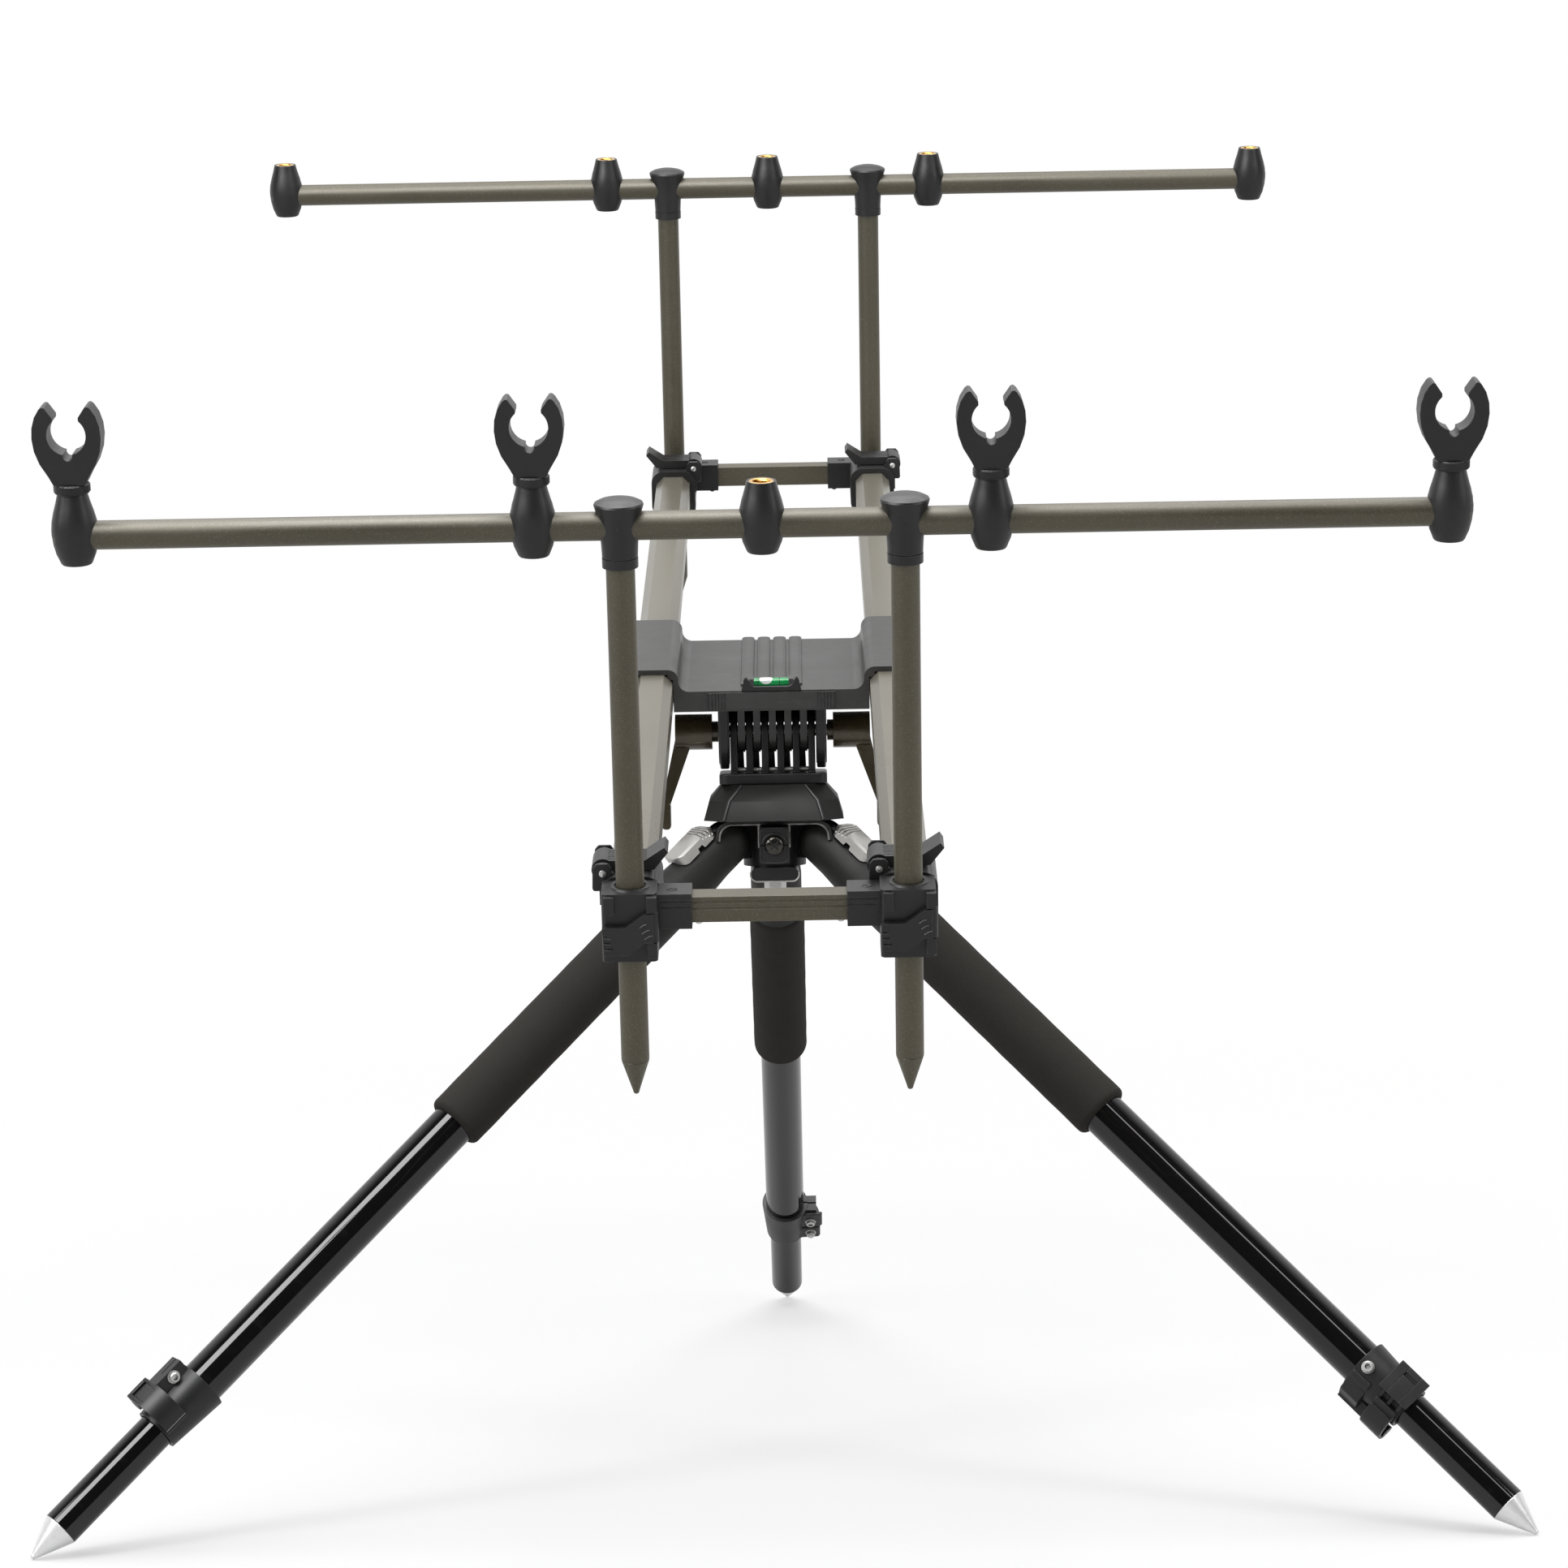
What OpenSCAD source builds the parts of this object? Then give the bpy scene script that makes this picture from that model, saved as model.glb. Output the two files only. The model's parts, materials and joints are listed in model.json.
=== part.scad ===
// Tripod rod pod: three telescopic legs, a tilting head, two rails and two buzz bars.
// Millimetres, +Z up, the floor at Z = 0, the front bar with the rod rests towards -Y.

/* [Tripod legs] */
// slope of an opened leg below level, degrees
leg_drop = 39.7; // [38:0.1:42]
// length from the point where the leg axes meet to the tip of a spike
leg_len = 696; // [670:1:730]
// outer diameter of the upper leg tube
upper_tube_d = 29; // [28:0.5:31]
// wall of the leg tubes
leg_wall = 2; // [1.5:0.1:2.5]
// outer diameter of the foam grip
foam_d = 38.5; // [36:0.5:42]
// length of the foam grip
foam_len = 180; // [140:1:210]
// length of the shoulder casting beyond the fork
shoulder_len = 71; // [66:1:80]
// length of the flip lock collar
lock_len = 40; // [36:1:46]
// length of lower tube that shows below the lock
lower_out = 84; // [80:1:120]
// length of lower tube hidden above the lock
lower_in = 210; // [180:1:230]
// length of the leg spike
leg_spike_len = 25; // [18:1:32]
// leg pivot, measured along the leg axis from where the axes meet
pivot_s = 48; // [47:0.5:50]

/* [Head] */
// height of the tilt bolt above the point where the leg axes meet
pin_rise = 42.7; // [42:0.1:46]
// tilt of the frame, back end up, degrees
tilt_deg = 13.6; // [10:0.1:16]
// diameter of the tilt bolt
tilt_bolt_d = 8; // [6:0.5:9]
// thickness of one hinge fin
fin_t = 4.6; // [4:0.1:5]
// air between two neighbouring fins
fin_gap = 0.6; // [0.5:0.05:0.8]
// width of the cover skirt at its lower edge
skirt_w = 93; // [88:1:98]
// height of the cover skirt
skirt_h = 23; // [21:0.5:24]
// diameter of a clamping lever's head
cam_head_d = 24; // [20:0.5:25]
// length of a clamping lever below the bolt
cam_drop = 65; // [50:1:70]

/* [Frame] */
// distance between the centre lines of the two rails
rail_gap = 156; // [152:1:164]
// width of a rail
rail_w = 26; // [24:0.5:27]
// height of a rail
rail_h = 28; // [26:0.5:30]
// wall of a rail
rail_wall = 2.2; // [1.8:0.1:3]
// from the tilt bolt forward to the front uprights, along the rails
front_reach = 471; // [430:1:510]
// from the tilt bolt back to the back uprights, along the rails
back_reach = 567; // [530:1:600]
// length of the saddle along the rails
saddle_len = 124; // [110:1:136]
// plate thickness of the saddle
saddle_t = 3.4; // [3:0.1:4]
// length of the spirit level vial
vial_len = 25; // [20:0.5:28]

/* [Corner blocks] */
// length of the sleeve that holds a rail
sleeve_len = 42; // [38:1:48]
// height of the upright clamp
clamp_h = 40; // [38:1:44]
// length of the crossbar socket
cross_socket_len = 19.5; // [16:0.5:24]
// height of the crossbar
cross_h = 15; // [13:0.5:16]
// depth of the crossbar
cross_d = 14; // [12:0.5:15]
// width of a rail lever, along the rail
rail_lever_w = 21; // [16:0.5:24]

/* [Uprights and bars] */
// diameter of the uprights and buzz bars
tube_d = 16; // [14:0.5:17]
// wall of the uprights and buzz bars
tube_wall = 1.4; // [1:0.1:2]
// distance between the two end sockets of a buzz bar
bar_span = 750; // [690:1:810]
// height of the front bar above the rail centre line
front_rise = 224; // [180:1:270]
// height of the back bar above the rail centre line
back_rise = 232; // [180:1:270]
// length from the bar's axis to the tip of an upright's spike
upright_len = 333; // [310:1:360]
// length of an upright's spike
cone_len = 21; // [16:1:26]
// diameter of a socket barrel at its waist
barrel_d = 25.5; // [24:0.5:27]
// thread diameter of the inserts, three eighths of an inch
thread_d = 9.525; // [7.9:0.005:10]

/* [Rod rests] */
// depth of a rod rest, along the rod
rest_depth = 15; // [12:0.5:18]
// radius of the round seat for the rod
rest_seat_r = 10.6; // [9:0.1:11]
// width of the mouth between the horns
rest_mouth = 14; // [12:0.5:15]
// diameter of the knurled lock ring
ring_d = 19; // [17:0.5:22]
// height of the knurled lock ring
ring_h = 5.5; // [4:0.5:7]

/* [Hidden] */
$fn = 64;

// clearances: a turning pin, a glued sleeve, a sliding tube, two bodies side by side
turn_gap = 0.05;
seat_gap = 0.02;
slide_gap = 0.5;
side_gap = 0.5;
// overlap that joins shapes of one solid, and overshoot of a cut
eps = 0.5;

// leg stations, measured along the leg axis
upper_r = upper_tube_d / 2;
lower_r = upper_r - leg_wall - slide_gap;
tip_r = 2;
tongue_r = 12.5;
shoulder_s0 = pivot_s + tongue_r + 4;
foam_s0 = shoulder_s0 + shoulder_len;
foam_s1 = foam_s0 + foam_len;
tube_plug = 37;
tube_s0 = foam_s0 - tube_plug;
spike_s0 = leg_len - leg_spike_len;
lock_s1 = spike_s0 - lower_out;
lock_s0 = lock_s1 - lock_len;
lock_mid = lock_s0 + lock_len * 0.55;
apex_z = (leg_len - tip_r) * sin(leg_drop) + tip_r;
LEFT = 210;
RIGHT = 330;
REAR = 90;
// turn of each flip lock about its leg
left_turn = 0;
right_turn = 180;
rear_turn = 90;

// flip lock, radii and heights from the leg axis
lock_r = upper_r + 3;
lock_low_r = lower_r + 2.6;
lever_in_r = lock_r + 0.4;
lever_out_r = lever_in_r + 2;
lever_c = 7.1;
knuckle_r = 4.2;
lock_pin_r = 2;
lock_pin_z = lever_c + lever_in_r - knuckle_r + 0.8;
lug_half = 6.5;
lug_top = lock_pin_z + lock_pin_r + 0.6;

// hub, and the tongues that the forked shoulders turn on
pivot_x = pivot_s * cos(leg_drop);
pivot_z = apex_z - pivot_s * sin(leg_drop);
fork_pin_r = 3;
tongue_t = 11;
shoulder_r0 = 15.5;
shoulder_r1 = 17.5;
fork_pin_half = shoulder_r0 - 3;
hub_r = pivot_x - shoulder_r0 - side_gap;
hub_low_r = 15;
pin_z = apex_z + pin_rise;
comb_base_h = 7;
comb_open = 27.5;
comb_base_z = pin_z - comb_open - comb_base_h;
skirt_z0 = comb_base_z - skirt_h;
skirt_plate = 3.5;
hub_z0 = pivot_z - 16.5;
hub_z1 = comb_base_z - skirt_plate;
hub_foot_h = 9;
boss_y = -34;
boss_z = pivot_z - 1;
boss_screw_r = 3;
centre_bolt_r = 4;

// comb hinge
fin_pitch = fin_t + fin_gap;
fin_r = 14;
cheek_fin_t = 7;
cheek_fin_r = 22;
cheek_fin_x = 5.5 * fin_pitch + fin_gap / 2 + 0.1;
comb_half = cheek_fin_x + cheek_fin_t;
bolt_r = tilt_bolt_d / 2;
cam_x0 = comb_half + side_gap;
cam_neck = 4;
cam_head_len = 24.7;
cam_x1 = cam_x0 + cam_neck + cam_head_len;
bolt_half = cam_x1 - 3;

// frame heights above the tilt bolt
rail_x = rail_gap / 2;
rail_c = 38;
rail_top = rail_c + rail_h / 2;
rail_cham = 5.5;
deck_top = rail_top - 11.8;
fascia_h = 10.5;
saddle_v0 = -41;
saddle_v1 = saddle_v0 + saddle_len;
wall_in = rail_x - rail_w / 2 - 0.4;
wall_out = rail_x + rail_w / 2 + 0.4;
vial_r = 3.3;

// corner block, measured from the upright's axis and the rail centre line
tube_r = tube_d / 2;
upright_gap = 0.35;
clamp_x0 = -tube_r - 8;
clamp_x1 = tube_r + 7;
clamp_v0 = -tube_r - 6.5;
clamp_v1 = tube_r + 4;
clamp_w1 = 16;
clamp_w0 = clamp_w1 - clamp_h;
rail_end_v = tube_r + 4;
sleeve_v0 = rail_end_v - 2;
sleeve_v1 = sleeve_v0 + sleeve_len;
sleeve_wall = 4;
sleeve_x = rail_w / 2 + sleeve_wall;
sleeve_w = rail_h / 2 + sleeve_wall;
rail_gap_fit = 0.35;
cross_w = 3;
cross_v = 2;
socket_wall = 2.8;
socket_x1 = clamp_x1 + cross_socket_len;
cross_in = 14;
lever_pin_x = -sleeve_x + 1;
lever_pin_w = sleeve_w + 1;
lever_pin_r = 1.6;
lever_head_r = 6.5;
lever_v0 = sleeve_v0 + 10;
lever_v1 = lever_v0 + rail_lever_w;
plate_t = 4.5;
plate_v0 = clamp_v0 - side_gap - plate_t;
barrel_r = 3;
hinge_x = clamp_x1 - 2;
hinge_v = clamp_v0 - side_gap;
hinge_r = 1.5;
hinge_w0 = -11.5;
hinge_w1 = 5.5;
cross_wall = 1.5;
button_r = 2.4;
button_x = rail_x - socket_x1 - 3.6;

// bars
front_bar_w = rail_c + front_rise;
back_bar_w = rail_c + back_rise;
bar_half = bar_span / 2 + barrel_d / 2 - 2.5;
socket_x = [-bar_span / 2, -bar_span / 6, 0, bar_span / 6, bar_span / 2];
rest_slots = [0, 1, 3, 4];
barrel_up = 24;
barrel_down = 15.8;
insert_r = 6;
insert_base = tube_r + 1.2;
flange_r = 7.1;
flange_h = 1.2;
thread_r = thread_d / 2;
cap_drop = 23;
ring_w0 = barrel_up + 0.1;
rest_w0 = ring_w0 + ring_h;
rest_h = 43.5;

// the tripod's axis is set off along Y so that the whole part is centred over the origin
reach_back = (back_reach + tube_r) * cos(tilt_deg) - (back_bar_w - upright_len + cone_len) * sin(tilt_deg);
reach_front = (front_reach + rest_depth / 2) * cos(tilt_deg)
              + (front_bar_w + rest_w0 + rest_h) * sin(tilt_deg);
axis_y = (reach_front - reach_back) / 2;

olive = "#5b5545";
black = "#333333";
foam_black = "#2d2a25";
tube_black = "#1c1a1a";
silver = "#c8c8c6";
bronze = "#4a4029";
brass = "#c9a04a";
green = "#00964a";

// places
module at_tripod() {
  translate([0, axis_y, 0]) children();
}

module at_leg(azimuth) {
  translate([0, axis_y, apex_z]) rotate([0, 0, azimuth]) rotate([0, leg_drop, 0]) children();
}

module at_frame() {
  translate([0, axis_y, pin_z]) rotate([tilt_deg, 0, 0]) children();
}

// corner places: side is -1 left or 1 right, and a back block is a front block turned about
module at_front(side) {
  at_frame() translate([side * rail_x, -front_reach, rail_c]) children();
}

module at_back(side) {
  at_frame() translate([side * rail_x, back_reach, rail_c]) rotate([0, 0, 180]) children();
}

// round bars along X and Y
module rod_x(r, x0, x1) {
  translate([x0, 0, 0]) rotate([0, 90, 0]) cylinder(r = r, h = x1 - x0);
}

module rod_y(r, y0, y1) {
  translate([0, y0, 0]) rotate([-90, 0, 0]) cylinder(r = r, h = y1 - y0);
}

// a box given by its two corners
module box(a, b) {
  translate(a) cube(b - a);
}

// flat shapes
module round_rect(w, h, r) {
  square([w - 2 * r, h], center = true);
  square([w, h - 2 * r], center = true);
  for (x = [-1, 1], y = [-1, 1])
    translate([x * (w / 2 - r), y * (h / 2 - r)]) circle(r);
}

module rail_outline(grow) {
  a = rail_w / 2 + grow;
  b = rail_h / 2 + grow;
  c = rail_cham + grow * 0.6;
  polygon([[a, -b + c], [a, b - c], [a - c, b], [-a + c, b],
           [-a, b - c], [-a, -b + c], [-a + c, -b], [a - c, -b]]);
}

// a flat X-W shape pushed along the rail from v0 to v1
module push_v(v0, v1) {
  translate([0, v1, 0]) rotate([90, 0, 0]) linear_extrude(v1 - v0) children();
}

// head

module hub() {
  boss_w = 20;
  boss_h = 24;
  split = 0.8;
  foot_w = 32;
  foot_y = -27;
  web_h = 22;
  color(black) at_tripod() difference() {
    union() {
      translate([0, 0, hub_z0]) cylinder(r = hub_r, h = hub_z1 - hub_z0);
      translate([0, 0, hub_z0 - hub_foot_h]) cylinder(r = hub_low_r, h = hub_foot_h + eps);
      for (azimuth = [LEFT, RIGHT, REAR])
        rotate([0, 0, azimuth]) translate([0, 0, pivot_z]) {
          translate([pivot_x, 0, 0]) rod_y(tongue_r, -tongue_t / 2, tongue_t / 2);
          box([0, -tongue_t / 2, -web_h / 2], [pivot_x, tongue_t / 2, web_h / 2]);
        }
      box([-boss_w / 2, boss_y, boss_z - boss_h / 2], [boss_w / 2, 0, boss_z + boss_h / 2]);
      translate([0, foot_y, hub_z0 - hub_foot_h / 2]) push_v(0, -foot_y)
        round_rect(foot_w, hub_foot_h, hub_foot_h / 2 - 0.2);
    }
    for (azimuth = [LEFT, RIGHT, REAR])
      rotate([0, 0, azimuth]) translate([pivot_x, 0, pivot_z])
        rod_y(fork_pin_r + seat_gap, -tongue_t, tongue_t);
    // split of the boss and the bore of its screw
    box([-boss_w / 2 - eps, boss_y - eps, boss_z - split / 2],
        [boss_w / 2 + eps, boss_y + 5, boss_z + split / 2]);
    translate([0, 0, boss_z]) rod_y(boss_screw_r + seat_gap, boss_y - eps, boss_y + 14);
    // bore of the centre bolt
    translate([0, 0, hub_z0 - hub_foot_h - eps]) cylinder(r = centre_bolt_r + seat_gap, h = 14);
  }
}

module skirt_outline(w, d, cham) {
  a = w / 2;
  b = d / 2;
  polygon([[a, b - cham], [a - cham, b], [cham - a, b], [-a, b - cham],
           [-a, cham - b], [cham - a, -b], [a - cham, -b], [a, cham - b]]);
}

// the skirt flares quickly under its top and then more steeply down to its lower edge
module skirt_solid(inset, drop) {
  sheet = 0.2;
  skirt_d = 88;
  top_w = 69;
  top_d = 56;
  bend = 0.7;
  bend_z = skirt_z0 + skirt_h * 0.55;
  cham = 13.5;
  top = comb_base_z - sheet - (inset > 0 ? skirt_plate : 0);
  module level(z, flare) {
    translate([0, 0, z]) linear_extrude(sheet)
      skirt_outline(top_w + (skirt_w - top_w) * flare - 2 * inset,
                    top_d + (skirt_d - top_d) * flare - 2 * inset, cham);
  }
  hull() {
    level(skirt_z0 - drop, 1);
    level(bend_z, bend);
  }
  hull() {
    level(bend_z, bend);
    level(top, 0);
  }
}

module head_cover() {
  color(black) at_tripod() difference() {
    skirt_solid(0, 0);
    skirt_solid(3, 0.1);
  }
}

module lower_comb() {
  base_d = 44;
  color(black) at_tripod() difference() {
    union() {
      translate([0, 0, comb_base_z]) linear_extrude(comb_base_h) round_rect(2 * comb_half, base_d, 6);
      for (i = [-2.5:1:2.5])
        translate([2 * i * fin_pitch - fin_t / 2, 0, pin_z]) {
          rod_x(fin_r, 0, fin_t);
          box([0, -fin_r, comb_base_z - pin_z + eps], [fin_t, fin_r, 0]);
        }
    }
    translate([0, 0, pin_z]) rod_x(bolt_r + seat_gap, -comb_half, comb_half);
  }
}

module head_fasteners() {
  head_r = 6.2;
  head_h = 2;
  cross_l = 3.4;
  cross_t = 0.7;
  nut_h = 7;
  nut_r = 7.5;
  color(silver) at_tripod() {
    translate([0, 0, pin_z]) rod_x(bolt_r, -bolt_half, bolt_half);
    for (azimuth = [LEFT, RIGHT, REAR])
      rotate([0, 0, azimuth]) translate([pivot_x, 0, pivot_z])
        rod_y(fork_pin_r, -fork_pin_half, fork_pin_half);
    // cross-head screw of the boss
    translate([0, boss_y, boss_z]) difference() {
      union() {
        rod_y(boss_screw_r, -eps, 13);
        rod_y(head_r, -head_h, 0);
      }
      for (turn = [0, 90])
        rotate([0, turn, 0]) box([-cross_l, -head_h - eps, -cross_t], [cross_l, -cross_t, cross_t]);
    }
    // centre bolt with its hexagon head
    translate([0, 0, hub_z0 - hub_foot_h - nut_h]) {
      cylinder(r = nut_r, h = nut_h, $fn = 6);
      cylinder(r = centre_bolt_r, h = nut_h + 11);
    }
  }
}

// side 1 right, -1 left
module cam_lever(side) {
  arm_root = cam_x1 - 9.5;
  arm_w = 10;
  tip_x = cam_x1 + 7;
  tip_w = 6;
  half_v = 5.5;
  color(bronze) at_tripod() translate([0, 0, pin_z]) mirror([side > 0 ? 0 : 1, 0, 0]) difference() {
    union() {
      rod_x(7, cam_x0, cam_x0 + cam_neck + eps);
      rod_x(cam_head_d / 2, cam_x0 + cam_neck, cam_x1);
      push_v(-half_v, half_v) polygon([
        [arm_root, -6], [cam_x1, -4], [tip_x + tip_w / 2, -cam_drop + 17],
        [tip_x - tip_w / 2, -cam_drop + 17], [arm_root, -cam_head_d / 2 + 1]]);
      push_v(-half_v - 0.8, half_v + 0.8) translate([tip_x, -cam_drop + 9])
        round_rect(tip_w, 18, 2.5);
    }
    rod_x(bolt_r + turn_gap, cam_x0 - eps, bolt_half + 1);
  }
}

// frame

// half of the saddle's section: deck, curved wall and the channel over a rail
module saddle_half() {
  bend = 7;
  deck_low = deck_top - saddle_t;
  top = rail_top + saddle_t;
  wall_x = wall_in - saddle_t;
  lip = 22;
  translate([0, deck_low]) square([wall_x + eps, saddle_t]);
  difference() {
    translate([wall_x - bend, deck_low]) square([bend + eps, saddle_t + bend]);
    translate([wall_x - bend, deck_top + bend]) circle(bend);
  }
  translate([wall_x, deck_low - fascia_h]) square([saddle_t, top - bend - deck_low + fascia_h]);
  translate([wall_x + bend, top - saddle_t]) square([wall_out - wall_x - bend + saddle_t, saddle_t]);
  intersection() {
    translate([wall_x, top - bend]) square([bend, bend]);
    translate([wall_x + bend, top - bend]) circle(bend);
    translate([wall_x, top - bend]) square([saddle_t + bend, bend]);
  }
  translate([wall_out, top - lip]) square([saddle_t, lip]);
}

module saddle() {
  rib_w = 8.5;
  rib_pitch = 10.7;
  rib_h = 1;
  panel_w = 84;
  panel_t = 1.6;
  fine_rib = 1.1;
  ear_x = 17.5;
  ear_t = 3;
  ear_d = 8;
  deck_low = deck_top - saddle_t;
  fascia_x = wall_in - saddle_t + eps;
  vial_w = deck_top + vial_r + 0.6;
  vial_v = saddle_v0 + 5;
  color(black) at_frame() difference() {
    union() {
      push_v(saddle_v0, saddle_v1) difference() {
        for (side = [0, 1]) mirror([side, 0]) saddle_half();
        for (side = [-1, 1]) translate([side * rail_x, rail_c]) rail_outline(0);
      }
      for (i = [-1.5:1:1.5])
        box([i * rib_pitch - rib_w / 2, saddle_v0 + 12, deck_top - eps],
            [i * rib_pitch + rib_w / 2, saddle_v1, deck_top + rib_h]);
      // front and back aprons
      for (v = [saddle_v0, saddle_v1 - saddle_t])
        box([-fascia_x, v, deck_low - fascia_h], [fascia_x, v + saddle_t, deck_low + eps]);
      box([-panel_w / 2, saddle_v0 - panel_t, deck_low - fascia_h + 2],
          [panel_w / 2, saddle_v0 + eps, deck_top - 0.8]);
      for (side = [-1, 1], i = [0:4])
        translate([side * (panel_w / 2 - 2 - 2.2 * i), 0, 0])
          box([-fine_rib / 2, saddle_v0 - panel_t - 0.5, deck_low - fascia_h + 2],
              [fine_rib / 2, saddle_v0, deck_top - 0.8]);
      // cradle and ears of the level
      box([-ear_x, saddle_v0, deck_top - eps], [ear_x, saddle_v0 + ear_d, deck_top + 2]);
      for (side = [-1, 1])
        translate([side * (vial_len / 2 + ear_t / 2 - 1), 0, 0])
          box([-ear_t / 2, saddle_v0, deck_top], [ear_t / 2, saddle_v0 + ear_d, vial_w + vial_r + 0.6]);
      // hinge fins and the thick outer cheeks
      for (i = [-2:2])
        translate([2 * i * fin_pitch - fin_t / 2, 0, 0]) {
          rod_x(fin_r, 0, fin_t);
          box([0, -fin_r, 0], [fin_t, fin_r, deck_low + eps]);
        }
      for (side = [0, 1])
        mirror([side, 0, 0]) {
          rod_x(cheek_fin_r, cheek_fin_x, comb_half);
          box([cheek_fin_x, -cheek_fin_r, 0], [comb_half, cheek_fin_r, deck_low + eps]);
        }
    }
    rod_x(bolt_r + turn_gap, -comb_half - eps, comb_half + eps);
    translate([0, vial_v, vial_w]) rod_x(vial_r + seat_gap, -vial_len / 2, vial_len / 2);
  }
}

module level_vial() {
  vial_w = deck_top + vial_r + 0.6;
  vial_v = saddle_v0 + 5;
  color(green) at_frame() translate([0, vial_v, vial_w]) rod_x(vial_r, -vial_len / 2, vial_len / 2);
}

module rails() {
  groove = 1.2;
  groove_w = rail_h / 2 - rail_cham - 1.5;
  color(olive) at_frame()
    for (side = [-1, 1])
      translate([side * rail_x, 0, rail_c])
        push_v(-front_reach + rail_end_v, back_reach - rail_end_v) difference() {
          rail_outline(0);
          rail_outline(-rail_wall);
          for (edge = [-1, 1])
            translate([edge * rail_w / 2, groove_w]) square([2, groove], center = true);
        }
}

// legs

// forked limb with a ball end; its pin goes in from behind, so the bore doesn't show at the front
module shoulder(azimuth) {
  taper = 30;
  slot_half = tongue_t / 2 + side_gap;
  from_behind = cos(azimuth) > 0.5 ? 1 : 0;
  color(black) at_leg(azimuth) difference() {
    union() {
      translate([pivot_s, 0, 0]) sphere(shoulder_r0);
      rod_x(shoulder_r0, pivot_s, shoulder_s0);
      translate([shoulder_s0 - eps, 0, 0]) rotate([0, 90, 0])
        cylinder(r1 = shoulder_r0, r2 = shoulder_r1, h = taper);
      rod_x(shoulder_r1, shoulder_s0 + taper - 2 * eps, foam_s0);
    }
    translate([pivot_s, 0, 0]) {
      mirror([0, from_behind, 0]) rod_y(fork_pin_r + turn_gap, -shoulder_r0 - eps, fork_pin_half + side_gap);
      box([-shoulder_r0 - eps, -slot_half, -shoulder_r0 - eps],
          [tongue_r + side_gap, slot_half, shoulder_r0 + eps]);
    }
    rod_x(upper_r + seat_gap, tube_s0, foam_s0 + eps);
  }
}

module upper_tube(azimuth) {
  color(tube_black) at_leg(azimuth) difference() {
    rod_x(upper_r, tube_s0, lock_mid);
    rod_x(upper_r - leg_wall, tube_s0 - eps, lock_mid + eps);
  }
}

module foam_grip(azimuth) {
  color(foam_black) at_leg(azimuth) difference() {
    rod_x(foam_d / 2, foam_s0, foam_s1);
    rod_x(upper_r + seat_gap, foam_s0 - eps, foam_s1 + eps);
  }
}

module lock_collar(azimuth, turn) {
  slit = 1.2;
  color(black) at_leg(azimuth) rotate([turn, 0, 0]) difference() {
    union() {
      translate([lock_s0, 0, 0]) rotate([0, 90, 0]) cylinder(r1 = lock_r, r2 = lock_low_r, h = lock_len);
      // clamping lug, split, with the pin of the lever
      box([lock_s0 + 1, -lug_half, upper_r + 1], [lock_mid, lug_half, lug_top]);
      translate([0, 0, lock_pin_z]) rod_x(lock_pin_r, lock_mid - 6, lock_s1 - 1);
    }
    rod_x(upper_r + seat_gap, lock_s0 - eps, lock_mid);
    rod_x(lower_r + slide_gap, lock_mid - eps, lock_s1 + eps);
    box([lock_s0, -slit / 2, upper_r - 3], [lock_mid - 8, slit / 2, lug_top + eps]);
  }
}

// curved plate that springs from the knuckle over the lug's pin and comes down round the collar's side
module lock_lever(azimuth, turn) {
  s0 = lock_mid + side_gap;
  s1 = lock_s1 - 1;
  low_z = 0;
  ridge_r = 1.4;
  slot_len = 11;
  slot_w = 2.5;
  slot_turn = 28;
  far = 2 * lever_out_r;
  slot_s = (s0 + s1) / 2;
  ridge_z = low_z + ridge_r - lever_c;
  color(black) at_leg(azimuth) rotate([turn, 0, 0]) translate([0, 0, lever_c]) difference() {
    union() {
      difference() {
        rod_x(lever_out_r, s0, s1);
        rod_x(lever_in_r, s0 - eps, s1 + eps);
        box([s0 - eps, -far, -far], [s1 + eps, -knuckle_r / 2, far]);
        box([s0 - eps, -far, -far], [s1 + eps, far, low_z - lever_c]);
      }
      // finger ridge along the free edge, and the knuckle
      translate([0, sqrt(pow(lever_out_r - 0.4, 2) - ridge_z * ridge_z), ridge_z]) rod_x(ridge_r, s0, s1);
      translate([0, 0, lock_pin_z - lever_c]) rod_x(knuckle_r, s0, s1);
    }
    translate([0, 0, lock_pin_z - lever_c]) rod_x(lock_pin_r + turn_gap, s0 - eps, s1 + eps);
    rotate([-slot_turn, 0, 0])
      box([slot_s - slot_len / 2, -slot_w / 2, lever_in_r - 1], [slot_s + slot_len / 2, slot_w / 2, far]);
  }
}

module lower_tube(azimuth) {
  color(tube_black) at_leg(azimuth) difference() {
    rod_x(lower_r, lock_s1 - lower_in, spike_s0);
    rod_x(lower_r - leg_wall, lock_s1 - lower_in - eps, spike_s0 + eps);
  }
}

module leg_spike(azimuth) {
  plug = 18;
  tip_s = leg_len - tip_r;
  color(silver) at_leg(azimuth) {
    rod_x(lower_r - leg_wall - seat_gap, spike_s0 - plug, spike_s0 + eps);
    translate([spike_s0, 0, 0]) rotate([0, 90, 0]) cylinder(r1 = lower_r, r2 = tip_r, h = tip_s - spike_s0);
    translate([tip_s, 0, 0]) sphere(tip_r);
  }
}

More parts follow.
